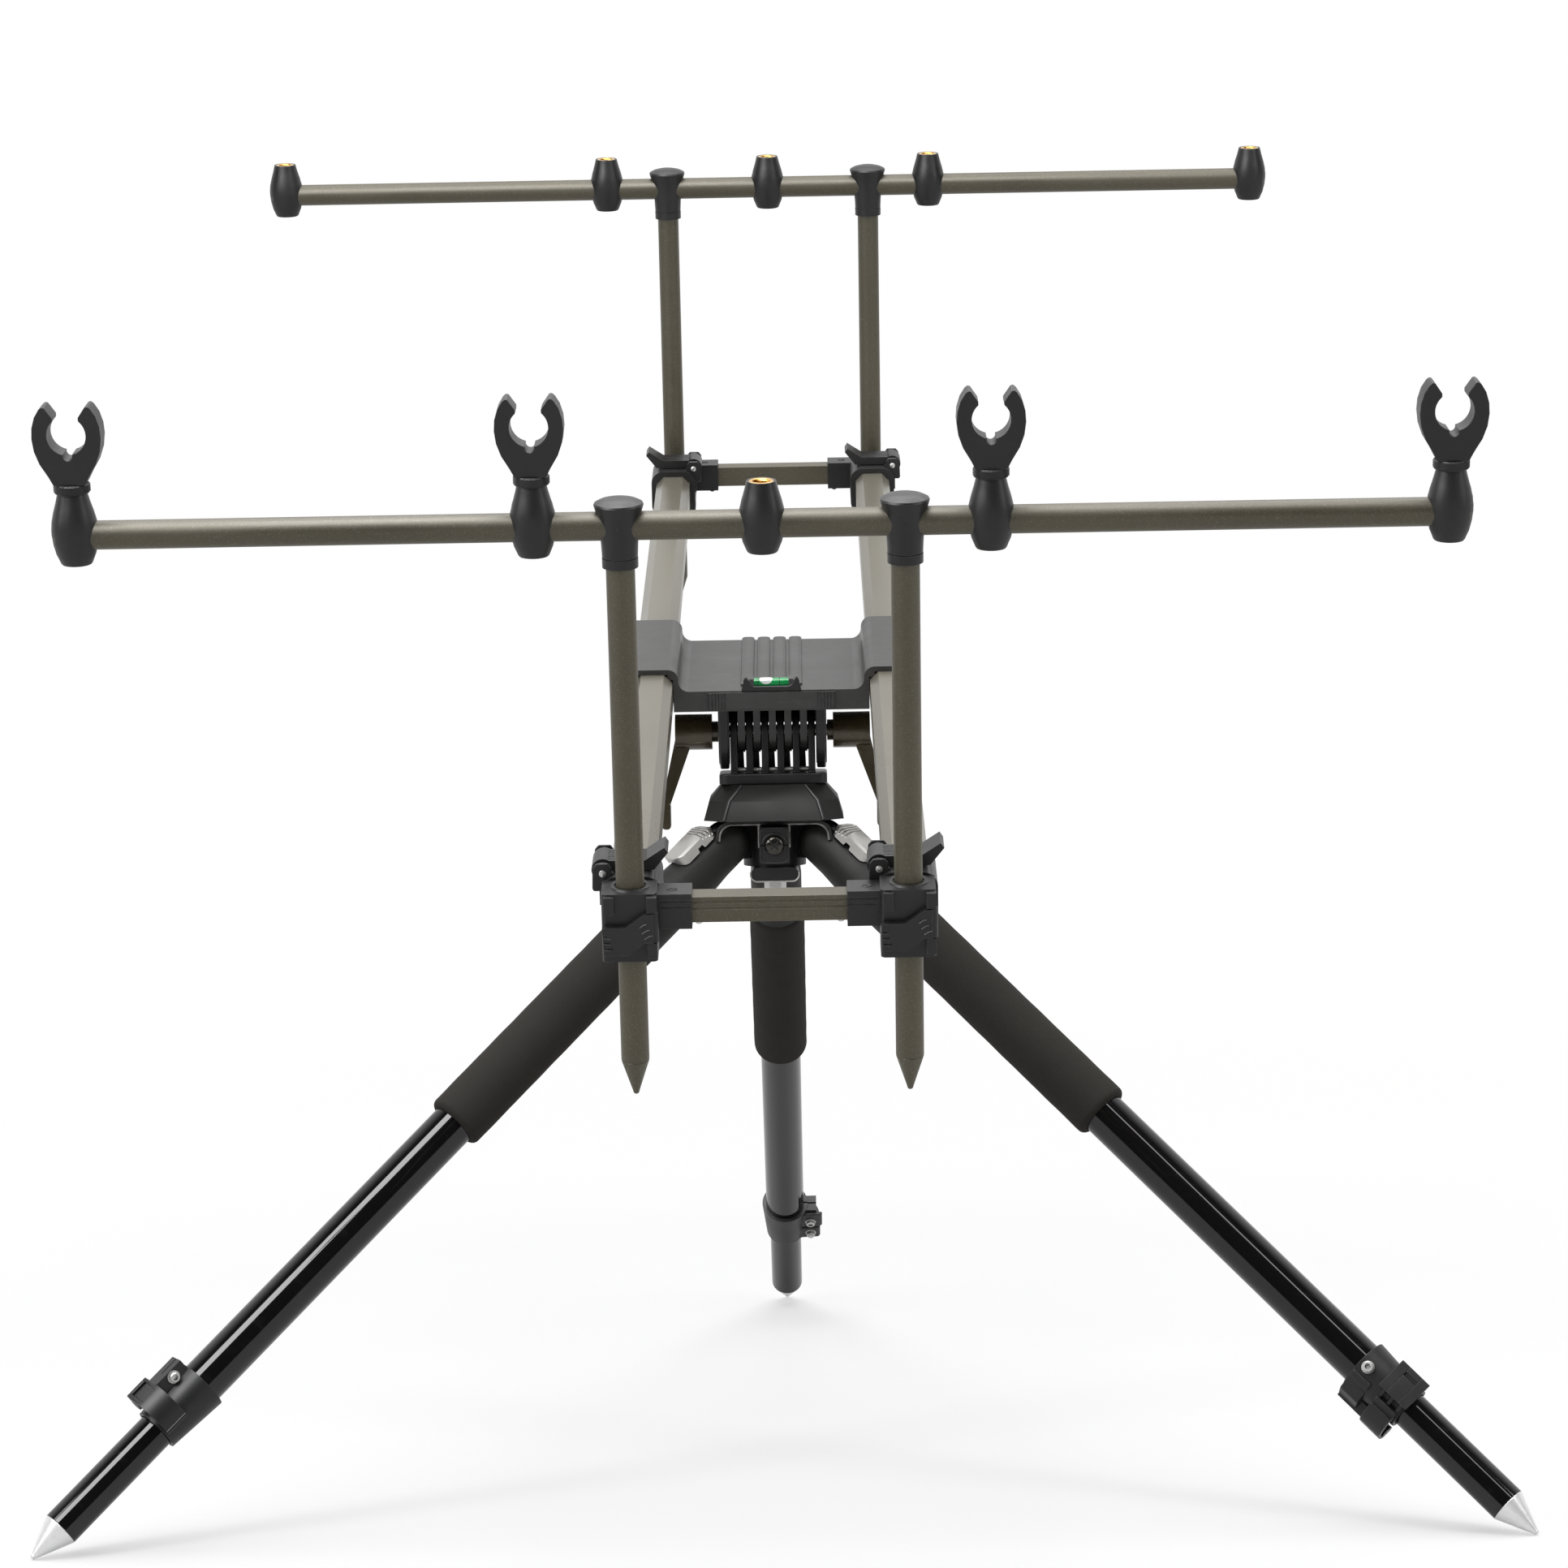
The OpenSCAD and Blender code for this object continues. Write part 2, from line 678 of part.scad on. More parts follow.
// pillow-shaped hood on the shoulder, ribbed at its hub end, with a notch in each lower edge
module release_tab(azimuth) {
  s0 = shoulder_s0 - 12;
  s1 = shoulder_s0 + 22;
  half_y = 11.5;
  low = 8;
  roof = shoulder_r1 + 6;
  crown_r = 46;
  crown_s = s0 + 20;
  rib_pitch = 2.6;
  rib_cut = 0.9;
  notch_s = s0 + 12;
  notch_top = 16.5;
  color(silver) at_leg(azimuth) difference() {
    intersection() {
      translate([(s0 + s1) / 2, 0, low]) linear_extrude(roof - low) round_rect(s1 - s0, 2 * half_y, 6);
      rod_x(roof, s0 - eps, s1 + eps);
      translate([crown_s, 0, roof - crown_r]) rod_y(crown_r, -half_y - eps, half_y + eps);
    }
    rod_x(shoulder_r1 + 0.4, s0 - 5, s1 + 5);
    for (i = [0:3]) {
      s = s0 + 3 + rib_pitch * i;
      drop = crown_r - sqrt(crown_r * crown_r - (s - crown_s) * (s - crown_s));
      difference() {
        rod_x(roof + eps, s, s + rib_cut);
        rod_x(roof - drop - 0.6, s - eps, s + rib_cut + eps);
      }
    }
    push_v(-half_y - eps, half_y + eps)
      polygon([[notch_s, low], [notch_s + 8, low], [notch_s + 6, notch_top], [notch_s + 2, notch_top]]);
  }
}

// corner blocks

module corner_block(side) {
  lug_t = 5;
  post_w = 5.5;
  nub_r = 2.4;
  half_cross = cross_h / 2 + socket_wall;
  half_deep = cross_d / 2 + socket_wall;
  knuckle_room = barrel_r + 0.5;
  x0 = side > 0 ? clamp_x1 - eps : -socket_x1;
  x1 = side > 0 ? socket_x1 : clamp_x0 + eps;
  difference() {
    union() {
      translate([(clamp_x0 + clamp_x1) / 2, (clamp_v0 + clamp_v1) / 2, clamp_w0]) linear_extrude(clamp_h)
        round_rect(clamp_x1 - clamp_x0, clamp_v1 - clamp_v0, 3);
      push_v(sleeve_v0, sleeve_v1) round_rect(2 * sleeve_x, 2 * sleeve_w, 9);
      // hinge posts above and below the plate lever, and the left post
      box([clamp_x1 - post_w, plate_v0 + 1, hinge_w1 + side_gap], [clamp_x1, clamp_v0 + eps, clamp_w1 - 1]);
      box([clamp_x1 - post_w, plate_v0 + 1, clamp_w0 + 3], [clamp_x1, clamp_v0 + eps, hinge_w0 - side_gap]);
      box([clamp_x0 + 1.5, plate_v0 + 2, 4.5], [clamp_x0 + 1.5 + post_w, clamp_v0 + eps, clamp_w1 - 1]);
      // crossbar socket with a round stop under it
      box([x0, cross_v - half_deep, cross_w - half_cross], [x1, cross_v + half_deep, cross_w + half_cross]);
      translate([side * (socket_x1 - 5), cross_v, cross_w - half_cross - 0.8]) sphere(nub_r);
      // lugs of the rail lever
      for (v = [lever_v0 - side_gap - lug_t, lever_v1 + side_gap]) {
        translate([lever_pin_x, 0, lever_pin_w]) rod_y(5, v, v + lug_t);
        box([lever_pin_x - 2, v, 0], [lever_pin_x + 6, v + lug_t, lever_pin_w]);
      }
      translate([lever_pin_x, 0, lever_pin_w])
        rod_y(lever_pin_r, lever_v0 - side_gap - lug_t - 0.6, lever_v1 + side_gap + lug_t + 0.6);
    }
    // bores for the upright, the rail and the crossbar
    translate([0, 0, clamp_w0 - eps]) cylinder(r = tube_r + upright_gap, h = clamp_h + 2 * eps);
    push_v(rail_end_v - 0.5, sleeve_v1 + eps) rail_outline(rail_gap_fit);
    translate([side * (socket_x1 - cross_in / 2 + eps), cross_v, cross_w])
      cube([cross_in + 2 * eps, cross_d + 2 * seat_gap, cross_h + 2 * seat_gap], center = true);
    // room for the heads of the two levers
    difference() {
      translate([lever_pin_x, 0, lever_pin_w])
        rod_y(lever_head_r + 0.5, lever_v0 - side_gap, lever_v1 + side_gap);
      translate([lever_pin_x, 0, lever_pin_w])
        rod_y(lever_pin_r, lever_v0 - 1, lever_v1 + 1);
    }
    translate([hinge_x, hinge_v, hinge_w0 - side_gap])
      cylinder(r = knuckle_room, h = hinge_w1 - hinge_w0 + 2 * side_gap);
    // grip grooves on the front of the socket
    for (w = [2, 5.4])
      box([x0 + (side > 0 ? 2 : -1), cross_v - half_deep - eps, cross_w + w],
          [x1 + (side > 0 ? 1 : -2), cross_v - half_deep + 0.5, cross_w + w + 1.2]);
  }
  // hinge pin of the plate lever
  translate([hinge_x, hinge_v, clamp_w0 + 5]) cylinder(r = hinge_r, h = clamp_w1 - 3 - clamp_w0 - 5);
}

module front_corner_blocks() {
  color(black) {
    at_front(-1) corner_block(1);
    at_front(1) corner_block(-1);
  }
}

module back_corner_blocks() {
  color(black) {
    at_back(-1) corner_block(-1);
    at_back(1) corner_block(1);
  }
}

// the crossbar runs from socket to socket and carries two grooves on its outward face
module crossbar(front) {
  out = front ? -1 : 1;
  reach = front ? -front_reach : back_reach;
  half = rail_x - socket_x1 + cross_in;
  groove = 1.2;
  color(olive) at_frame() translate([0, reach - out * cross_v, rail_c + cross_w]) difference() {
    cube([2 * half, cross_d, cross_h], center = true);
    cube([2 * half + 2, cross_d - 2 * cross_wall, cross_h - 2 * cross_wall], center = true);
    for (w = [0.6, 4.4])
      translate([0, out * cross_d / 2, w]) cube([2 * half + 2, groove, groove], center = true);
    // holes of the snap buttons
    if (front)
      for (side = [-1, 1])
        translate([side * button_x, 0, -cross_h / 2 - eps])
          cylinder(r = button_r + turn_gap, h = cross_wall + 2 * eps);
  }
}

module snap_buttons() {
  shank = 2.2;
  proud = 0.9;
  color(silver) at_frame()
    for (side = [-1, 1])
      translate([side * button_x, cross_v - front_reach, rail_c + cross_w - cross_h / 2 - proud]) {
        cylinder(r = button_r, h = shank);
        sphere(button_r);
      }
}

// cam lever on top of a rail sleeve: head round the pin, arm across, raised finger tab
module rail_lever() {
  arm_w0 = sleeve_w + 0.6;
  arm_t = 5.8;
  rib = 0.9;
  color(black) difference() {
    push_v(lever_v0, lever_v1) difference() {
      union() {
        translate([lever_pin_x, lever_pin_w]) circle(lever_head_r);
        translate([lever_pin_x, arm_w0]) square([sleeve_x + 10, arm_t]);
        polygon([[8, arm_w0], [13, arm_w0], [sleeve_x + 4, arm_w0 + 10], [sleeve_x + 2, arm_w0 + 13],
                 [8, arm_w0 + arm_t]]);
      }
      translate([lever_pin_x, lever_pin_w]) circle(lever_pin_r + turn_gap);
    }
    for (i = [1:5])
      translate([0, lever_v0 + i * rail_lever_w / 6, 0])
        box([lever_pin_x + 1, -rib / 2, arm_w0 + arm_t - 0.8], [9, rib / 2, arm_w0 + arm_t + eps]);
  }
}

// plate lever with stepped edges that closes the clamp on an upright
module upright_lever() {
  x0 = clamp_x0 + 0.3;
  rib = 1;
  color(black) difference() {
    union() {
      push_v(plate_v0, plate_v0 + plate_t) polygon([
        [x0, -2.2], [-2.5, -2.2], [8, hinge_w1 - 0.3], [hinge_x, hinge_w1],
        [hinge_x, hinge_w0], [7.6, hinge_w0], [-1.5, -18.6], [x0 + 1, -18.6]]);
      translate([hinge_x, hinge_v, hinge_w0]) cylinder(r = barrel_r, h = hinge_w1 - hinge_w0);
    }
    translate([hinge_x, hinge_v, hinge_w0 - eps])
      cylinder(r = hinge_r + turn_gap, h = hinge_w1 - hinge_w0 + 2 * eps);
    for (i = [0:2])
      translate([x0, plate_v0, -7.5 - 3.6 * i])
        box([-eps, -eps, 0], [3 + 1.6 * i, 0.7, rib]);
  }
}

// uprights and bars

module uprights(reach, bar_w) {
  top = bar_w - tube_r - 0.6;
  low = bar_w - upright_len + cone_len;
  color(olive) at_frame()
    for (side = [-1, 1])
      translate([side * rail_x, reach, low]) difference() {
        cylinder(r = tube_r, h = top - low);
        translate([0, 0, -eps]) cylinder(r = tube_r - tube_wall, h = top - low + 2 * eps);
      }
}

module upright_spikes(reach, bar_w) {
  plug = 14;
  point_r = 1.8;
  color(olive) at_frame()
    for (side = [-1, 1])
      translate([side * rail_x, reach, bar_w - upright_len]) {
        translate([0, 0, point_r]) sphere(point_r);
        translate([0, 0, point_r]) cylinder(r1 = point_r, r2 = tube_r, h = cone_len - point_r);
        translate([0, 0, cone_len - eps]) cylinder(r = tube_r - tube_wall - seat_gap, h = plug);
      }
}

module bar(reach, bar_w) {
  color(olive) at_frame() translate([0, reach, bar_w]) difference() {
    rod_x(tube_r, -bar_half, bar_half);
    rod_x(tube_r - tube_wall, -bar_half - eps, bar_half + eps);
  }
}

// black mouldings on a bar: five screw sockets and the two caps that take the uprights
module socket_barrel() {
  waist = barrel_d / 2;
  rotate_extrude() polygon([
    [0, -barrel_down], [waist - 4.6, -barrel_down], [waist - 4, -barrel_down + 0.8],
    [waist - 1.9, -10], [waist - 0.6, -4.5], [waist, 1], [waist, 4], [waist - 0.5, 8.5],
    [waist - 1.7, 13.5], [waist - 3.2, 18.5], [waist - 4.2, 22.4], [waist - 4.6, barrel_up], [0, barrel_up]]);
}

module cap() {
  rim = tube_r + 5.75;
  neck = tube_r + 1.85;
  rotate_extrude() polygon([
    [0, -cap_drop], [neck + 0.1, -cap_drop], [neck + 0.15, -cap_drop + 5.3], [neck - 0.6, -cap_drop + 5.3],
    [neck - 0.6, -cap_drop + 5.8], [neck, -cap_drop + 5.8], [neck + 0.35, -10], [neck + 1.05, 0],
    [neck + 1.9, 5.5], [rim - 0.6, 10], [rim, 12], [rim - 0.5, 13.1], [rim - 3.5, 14.6],
    [rim - 7.5, 15.6], [0, 16]]);
}

// the bore for the bar ends at the bar, so the outer barrels are closed
module sockets(reach, bar_w) {
  out = reach > 0 ? 1 : -1;
  screw_hole_r = 0.9;
  color(black) at_frame() translate([0, reach, bar_w]) {
    for (x = socket_x)
      difference() {
        translate([x, 0, 0]) socket_barrel();
        rod_x(tube_r + seat_gap, -bar_half - seat_gap, bar_half + seat_gap);
        translate([x, 0, insert_base - 0.4]) cylinder(r = insert_r + seat_gap, h = barrel_up);
        translate([x, 0, barrel_up - flange_h - seat_gap])
          cylinder(r = flange_r + seat_gap, h = flange_h + eps);
      }
    for (side = [-1, 1])
      translate([side * rail_x, 0, 0]) difference() {
        cap();
        rod_x(tube_r + seat_gap, -barrel_d, barrel_d);
        translate([0, 0, -cap_drop - eps]) cylinder(r = tube_r + seat_gap, h = cap_drop);
        // small hole on the outward face
        translate([0, out * (tube_r + 2.4), 0]) rod_y(screw_hole_r, -1, 1);
      }
  }
}

module inserts(reach, bar_w) {
  floor_h = 1.5;
  color(brass) at_frame() translate([0, reach, bar_w])
    for (x = socket_x)
      translate([x, 0, 0]) difference() {
        union() {
          translate([0, 0, insert_base]) cylinder(r = insert_r, h = barrel_up - insert_base - eps);
          translate([0, 0, barrel_up - flange_h]) cylinder(r = flange_r, h = flange_h);
        }
        translate([0, 0, insert_base + floor_h]) cylinder(r = thread_r, h = barrel_up);
      }
}

// rod rest: forked rubber head on a stud, with its knurled lock ring
module rest_outline() {
  half_neck = 8.6;
  seat_h = 27.5;
  lips = rest_mouth / 2;
  difference() {
    polygon([
      [-half_neck, 0], [half_neck, 0], [11.2, 5], [15.4, 12], [17.9, 19], [18.8, 26], [18.4, 32],
      [16.6, 38], [14, 42.2], [12.4, rest_h], [11, 43.2], [lips, 37.4],
      [-lips, 37.4], [-11, 43.2], [-12.4, rest_h], [-14, 42.2], [-16.6, 38], [-18.4, 32],
      [-18.8, 26], [-17.9, 19], [-15.4, 12], [-11.2, 5]]);
    translate([0, seat_h]) circle(rest_seat_r);
    translate([-lips, seat_h]) square([rest_mouth, 20]);
    translate([0, seat_h - rest_seat_r - 0.6]) circle(2.6);
  }
}

module rod_rest(slot) {
  stud_r = thread_r - turn_gap;
  stud_w0 = insert_base + 4;
  color(black) at_frame() translate([socket_x[slot], -front_reach, front_bar_w]) {
    translate([0, 0, stud_w0]) cylinder(r = stud_r, h = rest_w0 - stud_w0 + eps);
    translate([0, 0, rest_w0]) push_v(-rest_depth / 2, rest_depth / 2) rest_outline();
    // the ring is a piece of its own, run down the stud onto the insert
    translate([0, 0, ring_w0]) difference() {
      cylinder(r = ring_d / 2, h = ring_h - turn_gap);
      translate([0, 0, -eps]) cylinder(r = stud_r + turn_gap, h = ring_h + 2 * eps);
    }
  }
}

// the assembly
hub();
head_cover();
lower_comb();
head_fasteners();
cam_lever(-1);  // left_cam_lever
cam_lever(1);  // right_cam_lever
saddle();
level_vial();
rails();
shoulder(LEFT);  // left_shoulder
upper_tube(LEFT);  // left_upper_tube
foam_grip(LEFT);  // left_foam_grip
lock_collar(LEFT, left_turn);  // left_lock_collar
lock_lever(LEFT, left_turn);  // left_lock_lever
lower_tube(LEFT);  // left_lower_tube
leg_spike(LEFT);  // left_spike
release_tab(LEFT);  // left_release_tab
shoulder(RIGHT);  // right_shoulder
upper_tube(RIGHT);  // right_upper_tube
foam_grip(RIGHT);  // right_foam_grip
lock_collar(RIGHT, right_turn);  // right_lock_collar
lock_lever(RIGHT, right_turn);  // right_lock_lever
lower_tube(RIGHT);  // right_lower_tube
leg_spike(RIGHT);  // right_spike
release_tab(RIGHT);  // right_release_tab
shoulder(REAR);  // rear_shoulder
upper_tube(REAR);  // rear_upper_tube
foam_grip(REAR);  // rear_foam_grip
lock_collar(REAR, rear_turn);  // rear_lock_collar
lock_lever(REAR, rear_turn);  // rear_lock_lever
lower_tube(REAR);  // rear_lower_tube
leg_spike(REAR);  // rear_spike
release_tab(REAR);  // rear_release_tab
front_corner_blocks();
crossbar(true);  // front_crossbar
snap_buttons();
at_front(-1) rail_lever();  // front_left_rail_lever
at_front(1) rail_lever();  // front_right_rail_lever
at_front(-1) upright_lever();  // front_left_upright_lever
at_front(1) upright_lever();  // front_right_upright_lever
back_corner_blocks();
crossbar(false);  // back_crossbar
at_back(-1) rail_lever();  // back_left_rail_lever
at_back(1) rail_lever();  // back_right_rail_lever
at_back(-1) upright_lever();  // back_left_upright_lever
at_back(1) upright_lever();  // back_right_upright_lever
uprights(-front_reach, front_bar_w);  // front_uprights
upright_spikes(-front_reach, front_bar_w);  // front_spikes
bar(-front_reach, front_bar_w);  // front_bar
sockets(-front_reach, front_bar_w);  // front_sockets
inserts(-front_reach, front_bar_w);  // front_inserts
uprights(back_reach, back_bar_w);  // back_uprights
upright_spikes(back_reach, back_bar_w);  // back_spikes
bar(back_reach, back_bar_w);  // back_bar
sockets(back_reach, back_bar_w);  // back_sockets
inserts(back_reach, back_bar_w);  // back_inserts
rod_rest(rest_slots[0]);  // rod_rest_1
rod_rest(rest_slots[1]);  // rod_rest_2
rod_rest(rest_slots[2]);  // rod_rest_3
rod_rest(rest_slots[3]);  // rod_rest_4
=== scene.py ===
"""Looks of the tripod rod pod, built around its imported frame. Metres, +Z up, the rod rests towards -Y."""

import json
import math

import bmesh
import bpy
from mathutils import Matrix, Vector


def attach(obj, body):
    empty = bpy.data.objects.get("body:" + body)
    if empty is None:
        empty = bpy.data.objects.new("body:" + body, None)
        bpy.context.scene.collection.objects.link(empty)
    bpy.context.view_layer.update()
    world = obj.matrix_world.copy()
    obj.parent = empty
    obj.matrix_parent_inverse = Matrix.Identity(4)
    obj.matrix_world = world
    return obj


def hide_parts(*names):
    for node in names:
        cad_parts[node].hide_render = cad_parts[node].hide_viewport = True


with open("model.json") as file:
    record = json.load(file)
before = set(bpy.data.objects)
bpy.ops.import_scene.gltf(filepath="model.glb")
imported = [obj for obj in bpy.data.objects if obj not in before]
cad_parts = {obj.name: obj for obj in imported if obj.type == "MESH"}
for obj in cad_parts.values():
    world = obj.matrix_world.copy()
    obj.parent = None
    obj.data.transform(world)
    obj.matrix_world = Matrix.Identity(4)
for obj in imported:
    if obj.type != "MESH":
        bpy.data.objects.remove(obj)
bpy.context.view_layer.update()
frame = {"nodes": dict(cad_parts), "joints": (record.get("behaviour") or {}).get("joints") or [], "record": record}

MM = 0.001
INCH = 25.4
LEGS = ("left", "right", "rear")
ENDS = ("front", "back")
SIDES = {"left": -1, "right": 1}
RESTS = range(1, 5)
NODES = frame["nodes"]
JOINTS = {j["name"]: j for j in frame["joints"]}

# turns that lay a shape made along X along another axis
ALONG_Y = Matrix.Rotation(math.radians(90), 4, "Z")
ALONG_Y_BACK = Matrix.Rotation(math.radians(-90), 4, "Z")
ALONG_Z = Matrix.Rotation(math.radians(-90), 4, "Y")

# turns a flat outline to Y and Z, with its depth along X
SECTION = Matrix(((0, 0, 1, 0), (1, 0, 0, 0), (0, 1, 0, 0), (0, 0, 0, 1)))
# turns a flat outline to X and Z, with its depth towards the front
UPRIGHT = Matrix.Rotation(math.radians(90), 4, "X")

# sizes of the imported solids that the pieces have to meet, in millimetres
TUBE_R = 8.0
FLANGE_R = 7.1
THREAD_R = INCH * 3 / 8 / 2
RING_R = 9.5
RING_H = 5.5
RING_LOW = 24.1
COLLAR_R = 17.5
FIN_PITCH = 10.4
FIN_THICK = 4.6
COMB_BASE_H = 7.0
DECK_THICK = 3.4
APRON_PROUD = 2.1
VIAL_GAP = 0.6
BOSS_DROP = 1.0

# sizes that two pieces of the flip locks share, in millimetres
REAR_LUG_FACE = 9.0
WASHER_H = 0.7


# places


def axis_of(joint):
    """Direction of a joint's axis."""
    return Vector(JOINTS[joint]["axis"]).normalized()


def point_of(joint):
    """Point on a joint's axis, in metres."""
    return Vector(JOINTS[joint]["pos_m"])


def place(origin, x, y):
    """Matrix that takes millimetres along x, y and their cross product to metres in the frame."""
    z = x.cross(y)
    rows = [[x[i] * MM, y[i] * MM, z[i] * MM, origin[i]] for i in range(3)]
    return Matrix(rows + [[0, 0, 0, 1]])


def leg_place(leg):
    """Origin at the leg's pivot, X down the leg, Z up and away from it."""
    return place(point_of(f"{leg}_leg_fold"), axis_of(f"{leg}_leg_slide"), axis_of(f"{leg}_leg_fold"))


def frame_place():
    """Origin at the tilt bolt, X to the right, Y back along the rails, Z along the uprights."""
    return place(point_of("frame_tilt"), Vector((1, 0, 0)), axis_of("back_carriage_slide"))


def head_place():
    """Origin at the tilt bolt, level: X to the right, Y back, Z up."""
    return place(point_of("frame_tilt"), Vector((1, 0, 0)), Vector((0, 1, 0)))


def lock_place(leg):
    """Origin at the leg's pivot, X down the leg, Z from the leg's axis to the pin of its flip lock."""
    along = axis_of(f"{leg}_leg_slide")
    to_pin = point_of(f"{leg}_lock_flip") - point_of(f"{leg}_leg_fold")
    outward = (to_pin - to_pin.dot(along) * along).normalized()
    return place(point_of(f"{leg}_leg_fold"), along, outward.cross(along))


def moved(x, y, z):
    """Matrix of a move."""
    return Matrix.Translation((x, y, z))


def reach(node, at):
    """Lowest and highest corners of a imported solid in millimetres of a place."""
    back = at.inverted()
    points = [back @ v.co for v in NODES[node].data.vertices]
    return (Vector([min(p[i] for p in points) for i in range(3)]),
            Vector([max(p[i] for p in points) for i in range(3)]))


def bar_place(end):
    """Origin at the middle of a buzz bar, axes as the frame's."""
    low, high = reach(f"{end}_bar", frame_place())
    return frame_place() @ Matrix.Translation((low + high) / 2)


def block_place(end, side):
    """Origin at the upright's axis and the rail's middle, Y towards the saddle; in frame_place."""
    low, high = reach("rails", frame_place())
    upright_low, upright_high = reach(f"{end}_uprights", frame_place())
    v = (upright_low.y + upright_high.y) / 2
    spot = moved(side * upright_middle(), v, (low.z + high.z) / 2)
    return spot if end == "front" else spot @ Matrix.Rotation(math.pi, 4, "Z")


def upright_middle():
    """Distance of an upright's axis from the middle of the frame."""
    return reach("front_uprights", frame_place())[1].x - TUBE_R


def socket_places():
    """Places of the five screw sockets along a buzz bar."""
    outer = reach("back_inserts", bar_place("back"))[1].x - FLANGE_R
    return [outer * share for share in (-1, -1 / 3, 0, 1 / 3, 1)]


def vial_place():
    """Origin at the middle of the level's vial, axes as the frame's; in frame_place."""
    low, high = reach("level_vial", frame_place())
    return Matrix.Translation((low + high) / 2)


def vial_radius():
    """Radius of the level's vial."""
    low, high = reach("level_vial", frame_place())
    return (high.z - low.z) / 2


def deck_height():
    """Top of the saddle's deck, just under the vial; in frame_place."""
    return reach("level_vial", frame_place())[0].z - VIAL_GAP


def deck_seat():
    """Where pieces under the saddle's deck end, a little way into it; in frame_place."""
    lap = 0.4
    return deck_height() - DECK_THICK + lap


def apron_back():
    """Front edge of the saddle's deck, which the apron stands proud of; in frame_place."""
    return reach("saddle", frame_place())[0].y + APRON_PROUD


def pivot_of(leg):
    """Pivot of a leg, in head_place."""
    return head_place().inverted() @ point_of(f"{leg}_leg_fold")


def boss_place():
    """Origin on the hub's front at the boss screw, X to the right, Y up, Z to the front; in head_place."""
    front = reach("hub", head_place())[0].y
    return moved(0, front, pivot_of("left").z - BOSS_DROP) @ UPRIGHT


# node groups


def new_group(name, inputs, outputs):
    """Empty shader group with its named number sockets."""
    group = bpy.data.node_groups.new(name, "ShaderNodeTree")
    for label, value in inputs:
        socket = group.interface.new_socket(label, in_out="INPUT", socket_type="NodeSocketFloat")
        socket.default_value = value
    for label in outputs:
        group.interface.new_socket(label, in_out="OUTPUT", socket_type="NodeSocketFloat")
    return group, group.nodes.new("NodeGroupInput"), group.nodes.new("NodeGroupOutput")


def add(tree, kind, **settings):
    """New node of a kind with its settings."""
    node = tree.nodes.new(kind)
    for key, value in settings.items():
        setattr(node, key, value)
    return node


def noise(tree, coords, scale, detail=3.0, roughness=0.5):
    """Noise at a scale that is a number or another node's output."""
    node = add(tree, "ShaderNodeTexNoise")
    node.inputs["Detail"].default_value = detail
    node.inputs["Roughness"].default_value = roughness
    if hasattr(scale, "is_output"):
        tree.links.new(scale, node.inputs["Scale"])
    else:
        node.inputs["Scale"].default_value = scale
    tree.links.new(coords, node.inputs["Vector"])
    return node.outputs["Fac"]


def stretch(tree, value, low, high, to_low=0.0, to_high=1.0):
    """Value taken from one range to another."""
    node = add(tree, "ShaderNodeMapRange")
    tree.links.new(value, node.inputs["Value"])
    for key, number in (("From Min", low), ("From Max", high), ("To Min", to_low), ("To Max", to_high)):
        node.inputs[key].default_value = number
    return node.outputs["Result"]


def maths(tree, operation, a, b):
    """Operation on two values, each a number or another node's output."""
    node = add(tree, "ShaderNodeMath", operation=operation)
    for socket, value in zip(node.inputs, (a, b)):
        if isinstance(value, (int, float)):
            socket.default_value = value
        else:
            tree.links.new(value, socket)
    return node.outputs[0]


def make_grain():
    """Fine moulded or sprayed grain: a height for bump, and a patchy mask for colour and gloss."""
    group, given, out = new_group("surface_grain", [("Grain Scale", 1500.0), ("Patch Scale", 14.0)],
                                  ["Height", "Patches", "Flecks"])
    coords = add(group, "ShaderNodeTexCoord").outputs["Object"]
    fine = noise(group, coords, given.outputs["Grain Scale"], 2.0)
    broad = noise(group, coords, given.outputs["Patch Scale"], 4.0, 0.6)
    group.links.new(fine, out.inputs["Height"])
    group.links.new(stretch(group, broad, 0.35, 0.65), out.inputs["Patches"])
    group.links.new(stretch(group, fine, 0.58, 0.7), out.inputs["Flecks"])
    return group


def make_worn_and_highlit_edges():
    """Mask of convex edges, broken up by noise, where paint and plastic rub bright and where a painted highlight
    stands in for light catching the edges.
    """
    group, given, out = new_group("worn_and_highlit_edges", [("Reach", 0.0008), ("Break Scale", 220.0)], ["Wear"])
    bevel = add(group, "ShaderNodeBevel", samples=4)
    group.links.new(given.outputs["Reach"], bevel.inputs["Radius"])
    plain = add(group, "ShaderNodeNewGeometry").outputs["Normal"]
    turn = add(group, "ShaderNodeVectorMath", operation="DOT_PRODUCT")
    group.links.new(bevel.outputs["Normal"], turn.inputs[0])
    group.links.new(plain, turn.inputs[1])
    edge = stretch(group, turn.outputs["Value"], 0.985, 0.85)
    coords = add(group, "ShaderNodeTexCoord").outputs["Object"]
    broken = stretch(group, noise(group, coords, given.outputs["Break Scale"], 3.0), 0.35, 0.7)
    group.links.new(maths(group, "MULTIPLY", edge, broken), out.inputs["Wear"])
    return group


def make_scuffs():
    """Thin random scratches and smears that break up a gloss."""
    group, given, out = new_group("scuffs", [("Scale", 60.0)], ["Scuffs"])
    coords = add(group, "ShaderNodeTexCoord").outputs["Object"]
    warp = add(group, "ShaderNodeMapping")
    warp.inputs["Scale"].default_value = (1.0, 6.0, 1.0)
    group.links.new(coords, warp.inputs["Vector"])
    lines = noise(group, warp.outputs["Vector"], given.outputs["Scale"], 6.0, 0.7)
    group.links.new(stretch(group, lines, 0.55, 0.75), out.inputs["Scuffs"])
    return group


